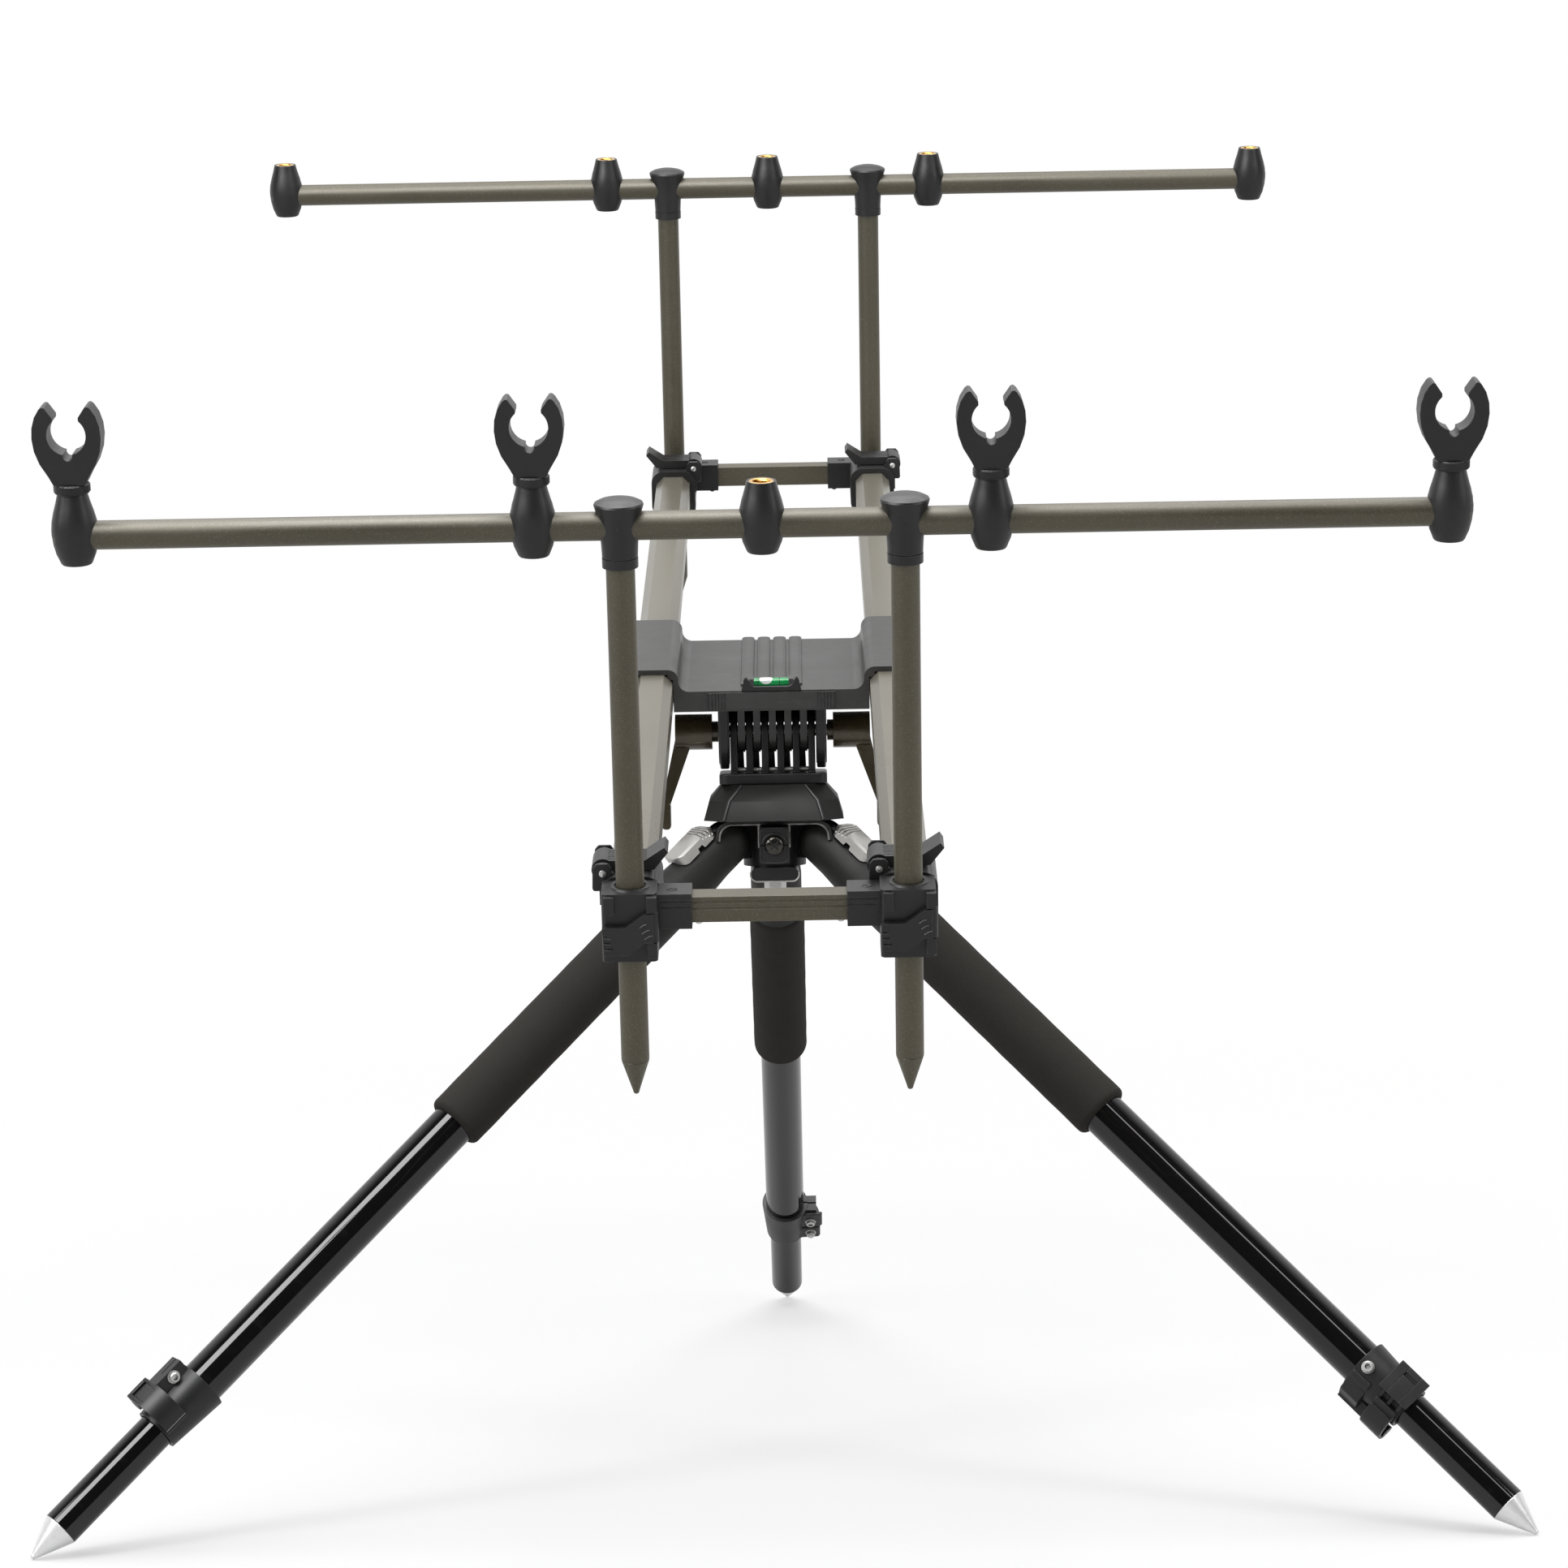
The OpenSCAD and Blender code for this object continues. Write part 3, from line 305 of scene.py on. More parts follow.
GRAIN = make_grain()
WORN_AND_HIGHLIT_EDGES = make_worn_and_highlit_edges()
SCUFFS = make_scuffs()


# materials


class Finish:
    """One material: a Principled shader and the few links that its finish needs."""

    def __init__(self, name, color, roughness, metallic=0.0, **sockets):
        self.material = bpy.data.materials.new(name)
        self.material.use_nodes = True
        self.tree = self.material.node_tree
        self.shader = self.tree.nodes["Principled BSDF"]
        self.color = (*color, 1.0)
        self.set("Base Color", self.color)
        self.set("Roughness", roughness)
        self.set("Metallic", metallic)
        for label, value in sockets.items():
            self.set(label.replace("_", " ").title().replace("Ior", "IOR"), value)

    def set(self, label, value):
        """Gives a socket of the shader a plain value."""
        self.shader.inputs[label].default_value = value

    def link(self, output, label):
        """Feeds a socket of the shader."""
        self.tree.links.new(output, self.shader.inputs[label])

    def group(self, group, **values):
        """Places a shared group with this finish's own values."""
        node = add(self.tree, "ShaderNodeGroup", node_tree=group)
        for label, value in values.items():
            node.inputs[label.replace("_", " ").title()].default_value = value
        return node.outputs

    def mix(self, fac, a, b):
        """Colour between a and b; a mix node keeps its colours after its numbers and vectors."""
        node = add(self.tree, "ShaderNodeMix", data_type="RGBA")
        self.tree.links.new(fac, node.inputs["Factor"])
        for socket, value in ((node.inputs[6], a), (node.inputs[7], b)):
            if isinstance(value, tuple):
                socket.default_value = value if len(value) == 4 else (*value, 1.0)
            else:
                self.tree.links.new(value, socket)
        return node.outputs[2]

    def bump(self, height, distance, strength=1.0):
        """Relief of the surface, its distance in metres."""
        node = add(self.tree, "ShaderNodeBump")
        node.inputs["Strength"].default_value = strength
        node.inputs["Distance"].default_value = distance
        self.tree.links.new(height, node.inputs["Height"])
        self.link(node.outputs["Normal"], "Normal")


def olive_paint():
    """Sprayed khaki paint with a fine metal fleck."""
    f = Finish("olive_paint", (0.098, 0.086, 0.056), 0.42, metallic=0.15)
    grain = f.group(GRAIN, grain_scale=1400.0, patch_scale=9.0)
    body = f.mix(grain["Patches"], (0.090, 0.079, 0.051), (0.108, 0.095, 0.063))
    flecked = f.mix(grain["Flecks"], body, (0.165, 0.152, 0.112))
    worn_and_highlit = f.group(WORN_AND_HIGHLIT_EDGES, reach=0.0006)
    # lighter edges: partly rubbed through, partly a painted highlight where light catches them
    f.link(f.mix(worn_and_highlit["Wear"], flecked, (0.22, 0.21, 0.18)), "Base Color")
    f.link(stretch(f.tree, grain["Patches"], 0.0, 1.0, 0.37, 0.47), "Roughness")
    f.bump(grain["Height"], 0.00006, 0.5)
    return f.material


def black_moulding():
    """Satin black plastic with a spark-eroded grain."""
    f = Finish("black_moulding", (0.016, 0.016, 0.0165), 0.40, specular_ior_level=0.38)
    grain = f.group(GRAIN, grain_scale=2200.0, patch_scale=22.0)
    body = f.mix(grain["Patches"], (0.0145, 0.0143, 0.0145), (0.019, 0.0188, 0.019))
    worn_and_highlit = f.group(WORN_AND_HIGHLIT_EDGES, reach=0.0008)
    # lighter edges: partly rubbed through, partly a painted highlight where light catches them
    f.link(f.mix(worn_and_highlit["Wear"], body, (0.10, 0.10, 0.103)), "Base Color")
    f.link(stretch(f.tree, grain["Patches"], 0.0, 1.0, 0.35, 0.46), "Roughness")
    f.bump(grain["Height"], 0.00005, 0.6)
    return f.material


def black_tube():
    """Gloss black lacquer on the leg tubes."""
    f = Finish("black_tube", (0.006, 0.0055, 0.0055), 0.09)
    scuffs = f.group(SCUFFS, scale=45.0)
    f.link(f.mix(scuffs["Scuffs"], (0.006, 0.0055, 0.0055), (0.014, 0.013, 0.013)), "Base Color")
    f.link(stretch(f.tree, scuffs["Scuffs"], 0.0, 1.0, 0.06, 0.14), "Roughness")
    return f.material


def foam():
    """Closed-cell foam sleeve."""
    f = Finish("foam", (0.024, 0.021, 0.017), 0.92, specular_ior_level=0.25)
    grain = f.group(GRAIN, grain_scale=1600.0, patch_scale=18.0)
    body = f.mix(grain["Patches"], (0.0225, 0.0197, 0.0163), (0.0255, 0.0223, 0.0185))
    f.link(f.mix(grain["Flecks"], body, (0.032, 0.028, 0.024)), "Base Color")
    f.bump(grain["Height"], 0.00015, 0.6)
    return f.material


def turned_aluminium():
    """Bright turned aluminium of the leg spikes."""
    f = Finish("turned_aluminium", (0.86, 0.86, 0.86), 0.45, metallic=0.75)
    scuffs = f.group(SCUFFS, scale=300.0)
    f.link(f.mix(scuffs["Scuffs"], (0.88, 0.88, 0.88), (0.76, 0.76, 0.76)), "Base Color")
    f.link(stretch(f.tree, scuffs["Scuffs"], 0.0, 1.0, 0.42, 0.55), "Roughness")
    f.bump(scuffs["Scuffs"], 0.00004, 0.4)
    return f.material


def satin_silver():
    """Sprayed silver of the release tabs."""
    f = Finish("satin_silver", (0.46, 0.45, 0.43), 0.33, metallic=0.85)
    grain = f.group(GRAIN, grain_scale=1600.0, patch_scale=30.0)
    worn_and_highlit = f.group(WORN_AND_HIGHLIT_EDGES, reach=0.0006)
    body = f.mix(grain["Patches"], (0.42, 0.41, 0.39), (0.50, 0.49, 0.47))
    # lighter edges: partly rubbed through, partly a painted highlight where light catches them
    f.link(f.mix(worn_and_highlit["Wear"], body, (0.62, 0.62, 0.61)), "Base Color")
    f.link(stretch(f.tree, grain["Patches"], 0.0, 1.0, 0.32, 0.46), "Roughness")
    f.bump(grain["Height"], 0.00004, 0.5)
    return f.material


def bronze_paint():
    """Dark bronze lacquer of the clamping levers."""
    f = Finish("bronze_paint", (0.052, 0.039, 0.018), 0.22, metallic=0.35, coat_weight=0.3)
    grain = f.group(GRAIN, grain_scale=700.0, patch_scale=35.0)
    worn_and_highlit = f.group(WORN_AND_HIGHLIT_EDGES, reach=0.0008)
    body = f.mix(grain["Patches"], (0.045, 0.034, 0.016), (0.062, 0.047, 0.022))
    # lighter edges: partly rubbed through, partly a painted highlight where light catches them
    f.link(f.mix(worn_and_highlit["Wear"], body, (0.16, 0.13, 0.075)), "Base Color")
    f.link(stretch(f.tree, grain["Patches"], 0.0, 1.0, 0.18, 0.3), "Roughness")
    f.bump(grain["Height"], 0.00005, 0.4)
    return f.material


def brass():
    """Turned brass of the threaded inserts."""
    f = Finish("brass", (0.72, 0.44, 0.12), 0.24, metallic=1.0)
    scuffs = f.group(SCUFFS, scale=400.0)
    f.link(f.mix(scuffs["Scuffs"], (0.74, 0.46, 0.13), (0.50, 0.29, 0.07)), "Base Color")
    f.link(stretch(f.tree, scuffs["Scuffs"], 0.0, 1.0, 0.18, 0.36), "Roughness")
    return f.material


def zinc():
    """Zinc plate of bolts, pins and screws."""
    f = Finish("zinc", (0.56, 0.56, 0.54), 0.34, metallic=0.9)
    grain = f.group(GRAIN, grain_scale=1200.0, patch_scale=60.0)
    f.link(f.mix(grain["Patches"], (0.52, 0.52, 0.50), (0.60, 0.60, 0.59)), "Base Color")
    f.link(stretch(f.tree, grain["Patches"], 0.0, 1.0, 0.30, 0.42), "Roughness")
    f.bump(grain["Height"], 0.00002, 0.4)
    return f.material


def vial_green():
    """Tinted fluid behind the clear wall of the level."""
    f = Finish("vial_green", (0.0, 0.32, 0.075), 0.22, coat_weight=0.15, specular_ior_level=0.3)
    grain = f.group(GRAIN, grain_scale=90.0, patch_scale=120.0)
    f.link(f.mix(grain["Patches"], (0.0, 0.29, 0.065), (0.0, 0.37, 0.09)), "Base Color")
    f.link(stretch(f.tree, grain["Patches"], 0.0, 1.0, 0.18, 0.26), "Roughness")
    return f.material


def rail_khaki_painted_sheen():
    """Smoother khaki anodising of the rails, its colour lighter than the uprights' olive as a painted sheen of the
    light from above on their tops.
    """
    # base colour lighter than the olive paint: a painted sheen of the light from above
    f = Finish("rail_khaki_painted_sheen", (0.190, 0.176, 0.140), 0.3, metallic=0.35)
    grain = f.group(GRAIN, grain_scale=1700.0, patch_scale=7.0)
    body = f.mix(grain["Patches"], (0.180, 0.166, 0.131), (0.200, 0.186, 0.149))
    flecked = f.mix(grain["Flecks"], body, (0.25, 0.24, 0.20))
    worn_and_highlit = f.group(WORN_AND_HIGHLIT_EDGES, reach=0.0006)
    # lighter edges: partly rubbed through, partly a painted highlight where light catches them
    f.link(f.mix(worn_and_highlit["Wear"], flecked, (0.30, 0.29, 0.26)), "Base Color")
    f.link(stretch(f.tree, grain["Patches"], 0.0, 1.0, 0.26, 0.34), "Roughness")
    f.bump(grain["Height"], 0.00004, 0.4)
    return f.material


def satin_moulding():
    """Black plastic of the saddle, rubbed to a satin sheen, with flow marks."""
    f = Finish("satin_moulding", (0.036, 0.035, 0.034), 0.36)
    grain = f.group(GRAIN, grain_scale=2000.0, patch_scale=30.0)
    scuffs = f.group(SCUFFS, scale=70.0)
    body = f.mix(grain["Patches"], (0.032, 0.031, 0.030), (0.041, 0.040, 0.039))
    rubbed = f.mix(scuffs["Scuffs"], body, (0.060, 0.058, 0.056))
    worn_and_highlit = f.group(WORN_AND_HIGHLIT_EDGES, reach=0.0007)
    # lighter edges: partly rubbed through, partly a painted highlight where light catches them
    f.link(f.mix(worn_and_highlit["Wear"], rubbed, (0.11, 0.11, 0.11)), "Base Color")
    f.link(stretch(f.tree, grain["Patches"], 0.0, 1.0, 0.31, 0.42), "Roughness")
    f.bump(grain["Height"], 0.00005, 0.5)
    return f.material


def matt_moulding():
    """Duller black plastic of the head cover."""
    f = Finish("matt_moulding", (0.022, 0.021, 0.020), 0.55, specular_ior_level=0.18)
    grain = f.group(GRAIN, grain_scale=2200.0, patch_scale=26.0)
    worn_and_highlit = f.group(WORN_AND_HIGHLIT_EDGES, reach=0.0008)
    body = f.mix(grain["Patches"], (0.019, 0.018, 0.017), (0.026, 0.025, 0.024))
    # lighter edges: partly rubbed through, partly a painted highlight where light catches them
    f.link(f.mix(worn_and_highlit["Wear"], body, (0.10, 0.10, 0.10)), "Base Color")
    f.link(stretch(f.tree, grain["Patches"], 0.0, 1.0, 0.50, 0.62), "Roughness")
    f.bump(grain["Height"], 0.00005, 0.6)
    return f.material


def painted_edge_highlight():
    """Light grey for edges of the hub casting: a painted highlight where light catches them."""
    f = Finish("painted_edge_highlight", (0.22, 0.21, 0.20), 0.42, metallic=0.3)
    grain = f.group(GRAIN, grain_scale=1800.0, patch_scale=120.0)
    f.link(f.mix(grain["Patches"], (0.12, 0.115, 0.11), (0.30, 0.29, 0.28)), "Base Color")
    f.link(stretch(f.tree, grain["Patches"], 0.0, 1.0, 0.36, 0.5), "Roughness")
    f.bump(grain["Height"], 0.00004, 0.5)
    return f.material


def black_ring():
    """Blackened metal of the knurled rings and the level's lines; also the painted shade of the boss screw's cross
    recess.
    """
    f = Finish("black_ring", (0.018, 0.018, 0.018), 0.34, metallic=0.4)
    grain = f.group(GRAIN, grain_scale=1500.0, patch_scale=60.0)
    worn_and_highlit = f.group(WORN_AND_HIGHLIT_EDGES, reach=0.0003)
    body = f.mix(grain["Patches"], (0.014, 0.014, 0.014), (0.024, 0.024, 0.024))
    # lighter edges and knurl ridges: partly rubbed through, partly a painted highlight where light catches them
    f.link(f.mix(worn_and_highlit["Wear"], body, (0.12, 0.12, 0.12)), "Base Color")
    f.link(stretch(f.tree, grain["Patches"], 0.0, 1.0, 0.28, 0.42), "Roughness")
    return f.material


def dark_chrome():
    """Dark plated head of the boss screw."""
    f = Finish("dark_chrome", (0.055, 0.052, 0.046), 0.16, metallic=0.85)
    grain = f.group(GRAIN, grain_scale=900.0, patch_scale=90.0)
    f.link(f.mix(grain["Patches"], (0.045, 0.042, 0.037), (0.070, 0.066, 0.058)), "Base Color")
    f.link(stretch(f.tree, grain["Patches"], 0.0, 1.0, 0.12, 0.24), "Roughness")
    return f.material


def bubble_white():
    """Bright bubble and end plugs of the level."""
    f = Finish("bubble_white", (0.80, 0.84, 0.82), 0.12, coat_weight=0.5)
    grain = f.group(GRAIN, grain_scale=300.0, patch_scale=200.0)
    f.link(f.mix(grain["Patches"], (0.72, 0.80, 0.76), (0.86, 0.88, 0.87)), "Base Color")
    return f.material


FINISHES = {make.__name__: make() for make in (
    olive_paint, rail_khaki_painted_sheen, black_moulding, satin_moulding, matt_moulding, painted_edge_highlight,
    black_ring, black_tube, foam, turned_aluminium, satin_silver, bronze_paint,
    brass, zinc, dark_chrome, vial_green, bubble_white)}
SLOT_FINISH = {"bright_aluminium": "turned_aluminium"}
NODE_FINISH = {"rails": "rail_khaki_painted_sheen", "saddle": "satin_moulding", "head_cover": "matt_moulding"}
NODE_FINISH.update({f"{leg}_shoulder": "matt_moulding" for leg in LEGS})


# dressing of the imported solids


def dress_solids():
    """Gives each solid its finish, and rounds its sharp edges with modifiers."""
    plain_round = 0.5
    edge_round = {"saddle": 0.6, "hub": 1.2, "head_cover": 0.8, "rails": 0.5, "lower_comb": 0.8,
                  "front_corner_blocks": 1.2, "back_corner_blocks": 1.2}
    edge_round.update({f"rod_rest_{n}": 1.3 for n in RESTS})
    edge_round.update({f"{leg}_release_tab": 0.9 for leg in LEGS})
    weld_gap = 0.000002
    flat_turn = math.radians(0.6)
    edge_turn = math.radians(38)
    for entry in frame["record"]["subparts"]:
        name = entry["node"]
        solid = NODES[name]
        slot = entry["material_slot"]
        solid.data.materials.clear()
        solid.data.materials.append(FINISHES[NODE_FINISH.get(name, SLOT_FINISH.get(slot, slot))])
        weld = solid.modifiers.new("weld", "WELD")
        weld.merge_threshold = weld_gap
        flat = solid.modifiers.new("flat", "DECIMATE")
        flat.decimate_type = "DISSOLVE"
        flat.angle_limit = flat_turn
        rounding = solid.modifiers.new("round_edge", "BEVEL")
        rounding.width = edge_round.get(name, plain_round) * MM
        rounding.segments = 2
        rounding.limit_method = "ANGLE"
        rounding.angle_limit = edge_turn
        rounding.use_clamp_overlap = True
        solid.modifiers.new("even_normals", "WEIGHTED_NORMAL")
        for polygon in solid.data.polygons:
            polygon.use_smooth = name != "head_cover"


# shapes


class Shape:
    """A mesh in the making, in millimetres of the place where its piece sits."""

    def __init__(self):
        self.mesh = bmesh.new()

    def skin(self, rings, at, closed_path=False):
        """Closed skin over rings of points that follow one another."""
        rows = [[self.mesh.verts.new(at @ Vector(p)) for p in ring] for ring in rings]
        for i in range(len(rows) if closed_path else len(rows) - 1):
            a, b = rows[i], rows[(i + 1) % len(rows)]
            for j in range(len(a)):
                k = (j + 1) % len(a)
                self.mesh.faces.new((a[j], a[k], b[k], b[j]))
        if not closed_path:
            self.mesh.faces.new(reversed(rows[0]))
            self.mesh.faces.new(rows[-1])
        return self

    def turned(self, profile, at=Matrix(), sides=40):
        """Solid turned about X from a profile of (along, radius), flat at both ends."""
        rings = [[(a, r * math.cos(t), r * math.sin(t)) for t in turns(sides)] for a, r in profile]
        return self.skin(rings, at)

    def turned_ring(self, profile, at=Matrix(), sides=64):
        """Ring turned about X from a closed profile that keeps off the axis."""
        rings = [[(a, r * math.cos(t), r * math.sin(t)) for a, r in profile] for t in turns(sides)]
        return self.skin(rings, at, True)

    def bar(self, path, radius, at=Matrix(), sides=10, closed=False):
        """Round bar along a path of points."""
        points = [Vector(p) for p in path]
        count = len(points)
        rings = []
        side = None
        for i, point in enumerate(points):
            before = points[i - 1] if i or closed else point
            after = points[(i + 1) % count] if i < count - 1 or closed else point
            ahead = (after - before).normalized()
            if side is None:
                side = ahead.orthogonal()
            side = (side - side.dot(ahead) * ahead).normalized()
            across = ahead.cross(side)
            ring = [point + radius * (math.cos(t) * side + math.sin(t) * across) for t in turns(sides)]
            rings.append(ring)
        return self.skin(rings, at, closed)

    def slab(self, outline, low, high, at=Matrix()):
        """Flat shape of X and Y points, raised along Z from low to high."""
        return self.skin([[(x, y, z) for x, y in outline] for z in (low, high)], at)

    def piece(self, name, at, finish, body, slot, edge=0.0, crease=35):
        """Sets the shape in its place as a named piece that moves with a body."""
        bmesh.ops.recalc_face_normals(self.mesh, faces=self.mesh.faces)
        self.mesh.transform(at)
        data = bpy.data.meshes.new(name)
        self.mesh.to_mesh(data)
        self.mesh.free()
        data.materials.append(FINISHES[finish])
        for polygon in data.polygons:
            polygon.use_smooth = True
        data.set_sharp_from_angle(angle=math.radians(crease))
        made = bpy.data.objects.new(name, data)
        bpy.context.scene.collection.objects.link(made)
        if edge:
            rounding = made.modifiers.new("round_edge", "BEVEL")
            rounding.width = edge * MM
            rounding.segments = 2
            rounding.limit_method = "ANGLE"
            rounding.angle_limit = math.radians(crease)
            made.modifiers.new("even_normals", "WEIGHTED_NORMAL").keep_sharp = True
        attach(made, body)
        return made


def turns(sides):
    """Angles of a full turn in equal steps."""
    return [2 * math.pi * i / sides for i in range(sides)]


def arc(centre, radius, start, end, steps):
    """Points of a flat arc, angles in degrees."""
    angles = [math.radians(start + (end - start) * i / steps) for i in range(steps + 1)]
    return [(centre[0] + radius * math.cos(a), centre[1] + radius * math.sin(a)) for a in angles]


def hexagon(corner_r):
    """Outline of a nut."""
    return arc((0, 0), corner_r, 0, 300, 5)


def rectangle(left, right, low, top):
    """Outline of a plain plate."""
    return [(left, low), (right, low), (right, top), (left, top)]


def handed(outline, side):
    """Outline as it is drawn for side 1, or turned over in X for side -1."""
    if side > 0:
        return outline
    return [(-x, y) for x, y in reversed(outline)]


# pieces


def foam_sleeves():
    """Foam grips with rounded, slightly rolled ends and a hand-pressed, uneven skin."""
    end_round, end_steps, steps = 4.0, 7, 60
    bore_gap = 0.03
    roll, press_share = 0.14, 0.6
    # the skin's waves: radians for each millimetre along, swing round the leg, lobes and their drift along
    wave, swing, lobes, drift = 0.23, 2.0, 3, 0.05
    for leg in LEGS:
        at = leg_place(leg)
        low, high = reach(f"{leg}_foam_grip", at)
        bore = reach(f"{leg}_upper_tube", at)[1].z + bore_gap
        outer = high.z - roll
        start = arc((low.x + end_round, outer - end_round), end_round, 180, 90, end_steps)
        end = arc((high.x - end_round, outer - end_round), end_round, 90, 0, end_steps)
        length = high.x - low.x - 2 * end_round
        middle = [(low.x + end_round + length * i / steps, outer) for i in range(1, steps)]
        profile = [(low.x, bore)] + start + middle + end + [(high.x, bore)]
        rings = []
        for t in turns(72):
            ring = []
            for a, r in profile:
                press = roll * math.sin(a * wave + swing * math.sin(t)) * math.cos(lobes * t + a * drift)
                r_here = r if r <= bore else r + press_share * press
                ring.append((a, r_here * math.cos(t), r_here * math.sin(t)))
            rings.append(ring)
        sleeve = Shape().skin(rings, Matrix(), True).piece(
            f"{leg}_foam_sleeve", at, "foam", f"{leg}_leg", "foam")
        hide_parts(f"{leg}_foam_grip")


def knurled_rings():
    """Diamond knurling round the lock rings of the rod rests."""
    columns, rows = 46, 6
    inset, chamfer, sunk = 0.5, 0.3, 1.2
    valley, depth = 0.06, 0.55
    bottom = RING_LOW + inset
    top = RING_LOW + RING_H - inset
    height = top - bottom - 2 * chamfer
    in_frame = frame_place().inverted()
    for n in RESTS:
        x = (in_frame @ point_of(f"rest_{n}_turn")).x
        rings = []
        for i, t in enumerate(turns(columns)):
            profile = [(bottom, RING_R - sunk), (bottom, RING_R)]
            for j in range(rows + 1):
                proud = valley + depth * ((i + j) % 2)
                profile.append((bottom + chamfer + height * j / rows, RING_R + proud))
            profile += [(top, RING_R), (top, RING_R - sunk)]
            rings.append([(a, r * math.cos(t), r * math.sin(t)) for a, r in profile])
        at = bar_place("front") @ moved(x, 0, 0) @ ALONG_Z
        Shape().skin(rings, Matrix(), True).piece(
            f"rest_{n}_knurl", at, "black_ring", f"rest_{n}", "black_moulding", crease=12)


def facing_side(at):
    """1 where a lock's own Y points to the front, -1 where it points to the back."""
    return 1 if (at.to_3x3() @ Vector((0, 1, 0))).y < 0 else -1


def lock_washer():
    """Profile of the washer under a lock's screw or nut."""
    lift, hole_r, rim_r = 0.02, 2.0, 4.1
    return [(lift, hole_r), (WASHER_H, hole_r), (WASHER_H, rim_r), (lift, rim_r)]


def lock_screw(leg, at, spot):
    """Socket screw of a flip lock with its washer, standing along Z of a spot."""
    head_r, head_h, head_round = 3.3, 2.8, 0.5
    key_r, key_lead, key_flare = 1.75, 1.2, 0.15
    top = WASHER_H + head_h
    head = [(WASHER_H, key_r), (top - key_lead, key_r), (top, key_r + key_flare),
            (top, head_r - head_round), (top - head_round, head_r), (WASHER_H, head_r)]
    key_floor = [(WASHER_H, key_r), (WASHER_H + 0.5, key_r), (WASHER_H + 0.6, 0.4)]
    screw = Shape()
    screw.turned_ring(lock_washer(), spot @ ALONG_Z, 40)
    screw.turned_ring(head, spot @ ALONG_Z, 36)
    screw.turned(key_floor, spot @ ALONG_Z, 6)
    screw.piece(f"{leg}_lock_screw", at, "zinc", f"{leg}_leg", "zinc", crease=30)


def lock_nut(leg, at, spot):
    """Hexagon nut of a flip lock with its washer and thread end, standing along Z of a spot."""
    corner_r, nut_h = 3.7, 2.6
    thread_end = [(WASHER_H + 2.5, 1.9), (WASHER_H + 3.6, 1.9), (WASHER_H + 4.0, 1.5)]
    nut = Shape()
    nut.turned_ring(lock_washer(), spot @ ALONG_Z, 40)
    nut.slab(hexagon(corner_r), WASHER_H, WASHER_H + nut_h, spot)
    nut.turned(thread_end, spot @ ALONG_Z, 24)
    nut.piece(f"{leg}_lock_nut", at, "zinc", f"{leg}_leg", "zinc", edge=0.3, crease=30)


def lock_screws():
    """Screw and nut through the lug of each flip lock."""
    screw_x = {"left": 11.0, "right": 6.4, "rear": 14.2}
    nut_x = {"left": 11.0, "right": 6.4, "rear": 31.0}
    lug_face = {"left": 6.5, "right": 6.5, "rear": REAR_LUG_FACE}
    below_top = 4.6
    # the right lock shows its screw in the collar's face, turned back from the lug by so many degrees
    face_turn = {"left": 0.0, "right": 27.0, "rear": 0.0}
    face_sink = 0.3
    for leg in LEGS:
        at = lock_place(leg)
        low, high = reach(f"{leg}_lock_collar", at)
        front = facing_side(at)
        face, height = lug_face[leg], high.z - below_top
        turn = Matrix.Rotation(math.radians(-90 * front - face_turn[leg]), 4, "X")
        spot = moved(low.x + screw_x[leg], front * face, height) @ turn
        if face_turn[leg]:
            spot = moved(low.x + screw_x[leg], 0, 0) @ turn @ moved(0, 0, COLLAR_R - face_sink)
        lock_screw(leg, at, spot)
        # the rear lock shows both ends on its front, one on each half of its split lug
        nut_side = front if leg == "rear" else -front
        nut_turn = Matrix.Rotation(math.radians(-90 * nut_side), 4, "X")
        lock_nut(leg, at, moved(low.x + nut_x[leg], nut_side * face, height) @ nut_turn)


def slotted_plate(plate, section, s0, s1, slot_len):
    """Adds both ends of a slotted plate that spans s0 to s1 of a leg, and gives the slot's two ends."""
    middle = (s0 + s1) / 2
    near, far = middle - slot_len / 2, middle + slot_len / 2
    plate.slab(section, s0, near, SECTION)
    plate.slab(section, far, s1, SECTION)
    return near, far


def left_lock_plate():
    """Raised edge of the left lock's lever, with its slot, as sections across the leg."""
    at = lock_place("left")
    low, high = reach("left_lock_lever", at)
    slot_len, inset = 11.0, 0.2
    near_side = [(11.0, 23.6), (4.0, 27.6)]
    slot = [(2.1, 28.1), (-0.5, 28.85)]
    far_side = [(-2.6, 29.4), (-4.2, 28.6), (-4.6, 25.0), (-4.2, 21.6),
                (-2.6, 20.6), (2.0, 24.6), (8.0, 23.6)]
    near_wall, far_wall = (2.1, 24.6), (-0.5, 24.0)
    plate = Shape()
    a, b = slotted_plate(plate, near_side + slot + far_side, low.x + inset, high.x - inset, slot_len)
    plate.slab(slot[1:] + far_side[:5] + [far_wall], a, b, SECTION)
    plate.slab(near_side + slot[:1] + [near_wall] + far_side[6:], a, b, SECTION)
    plate.piece("left_lock_plate", at, "black_moulding", "left_lock", "black_moulding", edge=0.5)


